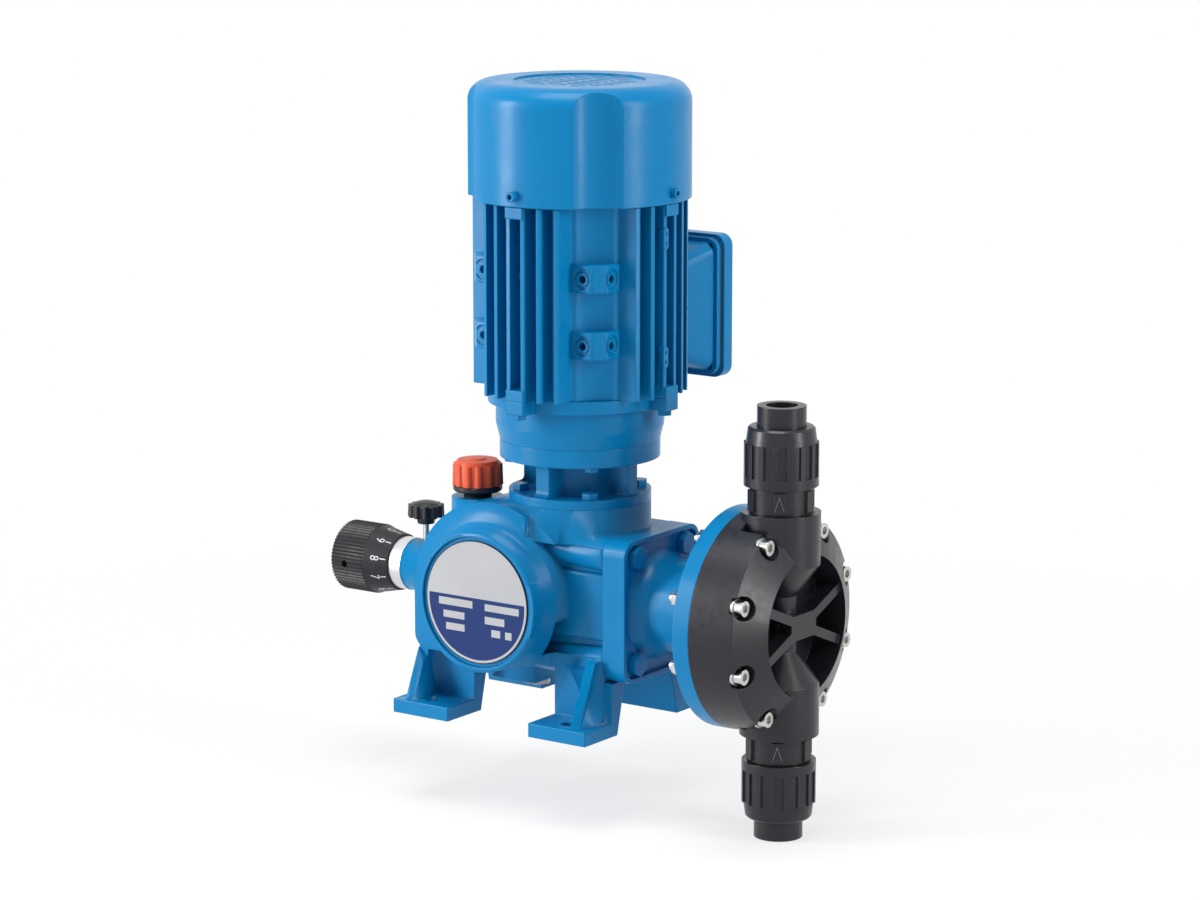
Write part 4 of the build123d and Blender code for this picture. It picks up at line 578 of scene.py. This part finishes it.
knob_black = Surface("knob_black", Specular_IOR_Level=0.22)
hole_x, hole_z, hole_radius = -0.15375, 0.0796, 0.0023
knob_x, knob_y, knob_z = knob_black.axes()
off_hole_x = knob_x - hole_x
off_hole_z = knob_z - hole_z
off_hole = (off_hole_x * off_hole_x + off_hole_z * off_hole_z).math("SQRT")
near_side = knob_y < -0.01
knob_black.drive("Base Color", knob_black.mix(
    knob_black.noise(60.0), (0.016, 0.016, 0.019, 1), (0.022, 0.022, 0.026, 1)))
knob_black.drive("Roughness", knob_black.between(knob_black.noise(500.0), 0.3, 0.7, 0.34, 0.46))
knob_black.relief(knob_black.noise(900.0), 0.00001, 0.5)
# Painted shade: a near-black disc on the knob's near side stands in for the shaded inside of the hole, which
# the mesh does not cut.
painted_hole_shade = knob_black.wire("ShaderNodeBsdfDiffuse", values={"Color": (0.002, 0.002, 0.002, 1)})
knob_black.uncover((off_hole < hole_radius) * near_side, painted_hole_shade)

cone_start, cone_end, cone_wide, cone_slim = -0.1382, -0.1208, 0.0225, 0.0188
along_knob = Matrix.Translation((0, 0, shaft_z)) @ Matrix.Rotation(math.radians(90), 4, "Y")
knob_body = [(-0.1656, 0.0), (-0.1656, 0.0196), (-0.1648, 0.0208), (-0.1648, 0.0222), (-0.1640, 0.0226),
             (-0.1388, 0.0226), (cone_start, cone_wide), (cone_end, cone_slim), (cone_end, 0.0)]
knob = mesh_piece("stroke_knob_ribbed", lambda shape: turned(shape, knob_body, 120))
with_nodes(knob, ribbed, along_knob, angle=28, material=knob_black.material, ribs=60, sides=4,
           reach=0.0222, thick_low=0.0011, thick_high=0.0011, length=0.0256, base=-0.1647, start=0.0)
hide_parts("stroke_knob")
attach(knob, "knob")


def cone_point(x, angle):
    """A point just off the knob's cone; angle 0 faces the viewer's side and grows upward."""
    ink_lift = 0.00012
    share = (x - cone_start) / (cone_end - cone_start)
    radius = cone_wide + (cone_slim - cone_wide) * share + ink_lift
    return (x, -radius * math.cos(angle), shaft_z + radius * math.sin(angle))


def dial_marks(shape):
    """Ten figures round the cone, each with a stroke toward the sleeve."""
    figure_height, figure_squeeze, figure_x, figure_radius = 0.0088, 0.82, -0.1305, 0.0207
    stroke_back, stroke_front, half_stroke = -0.1263, -0.1223, 0.0004 / 0.0195
    nearest_figure, nearest_angle = 6, -57.5
    for figure in range(10):
        letters = bpy.data.curves.new("figure", "FONT")
        letters.body = str(figure)
        letters.size = figure_height
        letters.align_x = "CENTER"
        letters.align_y = "CENTER"
        holder = bpy.data.objects.new("figure", letters)
        bpy.context.scene.collection.objects.link(holder)
        ready = holder.evaluated_get(bpy.context.evaluated_depsgraph_get())
        flat = bpy.data.meshes.new_from_object(ready)
        middle = math.radians(nearest_angle + 36 * ((figure - nearest_figure) % 10))
        start = len(shape.verts)
        shape.from_mesh(flat)
        shape.verts.ensure_lookup_table()
        for vertex in shape.verts[start:]:
            side, rise = vertex.co.x * figure_squeeze, vertex.co.y
            vertex.co = cone_point(figure_x + rise, middle - side / figure_radius)
        bpy.data.objects.remove(holder)
        bpy.data.curves.remove(letters)
        bpy.data.meshes.remove(flat)
        ends = [(stroke_back, -half_stroke), (stroke_front, -half_stroke),
                (stroke_front, half_stroke), (stroke_back, half_stroke)]
        shape.faces.new([shape.verts.new(cone_point(x, middle + turn)) for x, turn in ends])


white_ink = Surface("white_ink", Roughness=0.5)
white_ink.drive("Base Color", white_ink.mix(
    white_ink.noise(300.0), (0.55, 0.55, 0.55, 1), (0.7, 0.7, 0.7, 1)))
marks = mesh_piece("dial_marks", dial_marks)
white_ink.on(marks)
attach(marks, "knob")

star_place = Matrix.Translation((-0.102, 0, 0))
star_body = [(0.1100, 0.0), (0.1100, 0.0056), (0.1146, 0.0066), (0.1150, 0.0106), (0.1216, 0.0106),
             (0.1237, 0.0085), (0.1248, 0.0048), (0.1252, 0.0)]
star = mesh_piece("star_knob", lambda shape: turned(shape, star_body, 66))
with_nodes(star, ribbed, star_place, material=black.material, ribs=11, sides=16, reach=0.0100,
           thick_low=0.0023, thick_high=0.0019, length=0.0082, base=0.1146, start=0.2)
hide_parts("lock_screw")
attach(star, "lock")
shank_body = [(0.0894, 0.0), (0.0894, 0.0015), (0.0900, 0.0020), (0.1100, 0.0020), (0.1100, 0.0)]
shank = settle(mesh_piece("lock_screw_shank", lambda shape: turned(shape, shank_body, 24)), turn=star_place)
steel.on(shank)
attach(shank, "lock")


# Corner blocks: square bosses cast on the motor frame, two heights at each of its four corners, with a
# threaded hole in a shallow ring on both faces. They enclose the plain blocks of the frame.

motor_x = 0.0232
block_face, block_start, block_half = 0.0514, 0.0265, 0.0089
block_inside, round_start, round_middle, round_end = 0.036, 0.0440, 0.0455, 0.0478
hole_offset, bore_radius, bore_depth = 0.0383, 0.0026, 0.008
ring_inner, ring_outer, ring_depth, past_face = 0.0043, 0.0066, 0.0009, 0.001
block_heights = (0.251, 0.293)


def corner_pair(shape):
    quarter = [(block_start, block_inside), (block_start, block_face), (round_start, block_face),
               (round_middle, round_end)]
    outline = quarter + [(y, x) for x, y in reversed(quarter)]
    for height in block_heights:
        prism(shape, outline, height - block_half, height + block_half, axis="Z")


def corner_holes(shape):
    hole = [(-bore_depth, 0.0), (-bore_depth, bore_radius), (past_face, bore_radius), (past_face, 0.0)]
    ring = [(-ring_depth, ring_inner), (past_face, ring_inner), (past_face, ring_outer),
            (-ring_depth, ring_outer)]
    along_x = Matrix.Rotation(math.radians(90), 4, "Y")
    along_y = Matrix.Rotation(math.radians(-90), 4, "X")
    for height in block_heights:
        for place, turn in (((block_face, hole_offset), along_x), ((hole_offset, block_face), along_y)):
            outward = Matrix.Translation((*place, height)) @ turn
            turned(shape, hole, 32, outward)
            annulus(shape, ring, 36, outward)


spread = Form("turns_about_an_axis", Mesh="Geometry", Copies="Int", Material="Material")
spread.close(spread.turns(spread.given["Mesh"], spread.given["Copies"]))
borer = mesh_piece("corner_borer", corner_holes)
blocks = mesh_piece("corner_blocks", corner_pair)
settle(blocks, [("BEVEL", {"width": 0.0011, "segments": 3, "limit_method": "ANGLE"}),
                ("BOOLEAN", {"operation": "DIFFERENCE", "solver": "EXACT", "object": borer})])
bpy.data.objects.remove(borer)
with_nodes(blocks, spread, Matrix.Translation((motor_x, 0, 0)), copies=4, material=enamel.material)
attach(blocks, "base")


# Fin pads: two small rounded pads with a pair of holes each, cast on the outer fin on the right and
# painted with it.

pad_heights, pad_y, pad_back, pad_front = (0.316, 0.241), -0.0055, 0.0660, 0.0700
pad_half_width, pad_round, pad_round_middle = 0.0026, 0.0024, 0.0045
pad_hole_lift, pad_hole_radius, pad_hole_bottom = 0.0031, 0.0012, 0.0682


def pads(shape):
    for height in pad_heights:
        outline = []
        for side in (1, -1):
            for step in range(13):
                angle = math.radians(90 - 90 * side + step * 15)
                rise = side * pad_round_middle + pad_round * math.sin(angle)
                outline.append((pad_y + pad_half_width * math.cos(angle), height + rise))
        prism(shape, outline, motor_x + pad_back, motor_x + pad_front, axis="X")


def pad_holes(shape):
    along_x = Matrix.Rotation(math.radians(90), 4, "Y")
    hole = [(0.0, 0.0), (0.0, pad_hole_radius), (0.003, pad_hole_radius), (0.003, 0.0)]
    for height in pad_heights:
        for lift in (-pad_hole_lift, pad_hole_lift):
            place = Matrix.Translation((motor_x + pad_hole_bottom, pad_y, height + lift)) @ along_x
            turned(shape, hole, 24, place)


drill = mesh_piece("pad_drill", pad_holes)
pad = settle(mesh_piece("fin_pads", pads), [
    ("BOOLEAN", {"operation": "DIFFERENCE", "solver": "EXACT", "object": drill})])
bpy.data.objects.remove(drill)
enamel.on(pad)
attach(pad, "base")


# Visible screws, nuts and washers of the head and of the terminal box: bright stainless steel, cold
# headed and turned, left unpainted.

stainless = Surface("bright_stainless", Metallic=1.0, Roughness=0.24)
stainless.drive("Base Color", stainless.mix(
    stainless.noise(200.0), (0.5, 0.5, 0.49, 1), (0.66, 0.66, 0.64, 1)))
stainless.relief(stainless.noise(1600.0), 0.00001, 0.5, edge=0.0003)
for name in ("terminal_box_screws", "head_screws", "head_washers", "head_nuts"):
    stainless.on(node[name])


# Pump head, valves and unions: dark grey moulded plastic, satin, with a slight sheen on the round
# parts. A thin raised arrow on the near lug of each valve collar shows the flow upward, and the arrows
# are painted paler grey than the moulding as a painted highlight, for the light their edges catch.

moulding = Surface("grey_moulding", Specular_IOR_Level=0.32, Coat_Weight=0.04, Coat_Roughness=0.1)
moulding.drive("Base Color", moulding.mix(
    moulding.noise(30.0), (0.012, 0.0115, 0.016, 1), (0.017, 0.0165, 0.022, 1)))
moulding.drive("Roughness", moulding.between(moulding.noise(220.0), 0.3, 0.7, 0.26, 0.38))
moulding.relief(moulding.noise(700.0, 1.0), 0.000004, 0.3, edge=0.0006)
valve_x = 0.17605
collar_heights, lug_angle, lug_reach = (0.1603, 0.0018), -60, 0.0216
arrow_half_width, arrow_half_height, arrow_half_stroke = 0.0028, 0.0042, 0.0006
arrow_inner, arrow_outer = 0.0205, 0.0222


def arrow_points(height, side, share):
    """Four points of an arrow's limb, at the share of its length down from the tip."""
    turn = math.radians(lug_angle) + side * share * arrow_half_width / lug_reach
    level = height + arrow_half_height * (1 - 2 * share)
    return [(valve_x + radius * math.cos(turn), radius * math.sin(turn), level + lift)
            for lift in (-arrow_half_stroke, arrow_half_stroke) for radius in (arrow_inner, arrow_outer)]


def flow_arrows(shape):
    for height in collar_heights:
        for side in (-1, 1):
            rows = []
            for share in (0.0, 0.5, 1.0):
                rows.append([shape.verts.new(point) for point in arrow_points(height, side, share)])
            for (a, b, c, d), (e, f, g, h) in zip(rows, rows[1:]):
                for quad in ((a, e, f, b), (c, d, h, g), (b, f, h, d), (a, c, g, e)):
                    shape.faces.new(quad)
            for a, b, c, d in (rows[0], rows[-1]):
                shape.faces.new((a, b, d, c))


arrows = settle(mesh_piece("flow_arrows", flow_arrows))
# Painted highlight: the arrows get a paler grey than the moulding, standing in for the light that their
# raised edges catch.
arrow_painted_highlight = Surface("grey_moulding_edge", Specular_IOR_Level=0.4)
arrow_painted_highlight.drive("Base Color", arrow_painted_highlight.mix(
    arrow_painted_highlight.noise(90.0), (0.10, 0.10, 0.115, 1), (0.17, 0.17, 0.19, 1)))
arrow_painted_highlight.drive("Roughness", arrow_painted_highlight.between(arrow_painted_highlight.noise(220.0), 0.3, 0.7, 0.26, 0.38))
arrow_painted_highlight.on(arrows)
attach(arrows, "base")
for name in ("pump_head", "valve_bodies", "suction_union_nut", "discharge_union_nut", "socket_ends",
             "valve_seats"):
    moulding.on(node[name])


# Inner works: ground shafts and bearings, a bronze wheel and bush, copper windings on stacked sheet,
# rubber diaphragm and seals. The housings hide them, and they show only if a piece is taken off.

for name in ("worm_shaft", "shaft_key", "wheel_shaft", "eccentrics", "cam_rings", "worm_bearings",
             "wheel_bearings", "push_yoke", "push_rod", "return_spring", "stop_pad", "adjusting_spindle",
             "motor_shaft", "motor_bearings"):
    steel.on(node[name])

bronze = Surface("cast_bronze", Metallic=1.0, Roughness=0.38)
bronze.drive("Base Color", bronze.mix(bronze.noise(80.0), (0.46, 0.27, 0.1, 1), (0.6, 0.38, 0.16, 1)))
bronze.on(node["worm_wheel"], node["rod_bush"])

copper = Surface("winding_wire", Metallic=1.0, Roughness=0.4)
copper.drive("Base Color", copper.mix(copper.noise(300.0), (0.42, 0.12, 0.04, 1), (0.6, 0.2, 0.08, 1)))
copper.relief(copper.noise(500.0), 0.0003, 0.6)
copper.on(node["stator_windings"])

sheets = Surface("stacked_sheet", Metallic=1.0, Roughness=0.45)
sheet_z = sheets.axes()[2]
stripes = (sheet_z * 12566.0).math("SINE")  # one stripe to each half millimetre
sheets.drive("Base Color", sheets.mix(sheets.noise(60.0), (0.22, 0.22, 0.23, 1), (0.32, 0.32, 0.33, 1)))
sheets.relief(stripes, 0.00005, 0.5)
sheets.on(node["rotor"], node["stator_core"])

rubber = Surface("black_rubber", Roughness=0.7)
rubber.drive("Base Color", rubber.mix(rubber.noise(60.0), (0.012, 0.012, 0.012, 1), (0.022, 0.022, 0.021, 1)))
rubber.relief(rubber.noise(700.0), 0.00004, 0.5)
for name in ("diaphragm", "shaft_seals", "terminal_box_gasket", "sealing_rings"):
    rubber.on(node[name])

ceramic = Surface("valve_ball", Roughness=0.1)
ceramic.drive("Base Color", ceramic.mix(ceramic.noise(120.0), (0.72, 0.74, 0.72, 1), (0.8, 0.82, 0.8, 1)))
ceramic.on(node["suction_ball"], node["discharge_ball"])

black.on(node["cooling_fan"], node["terminal_block"], node["cable_gland"])
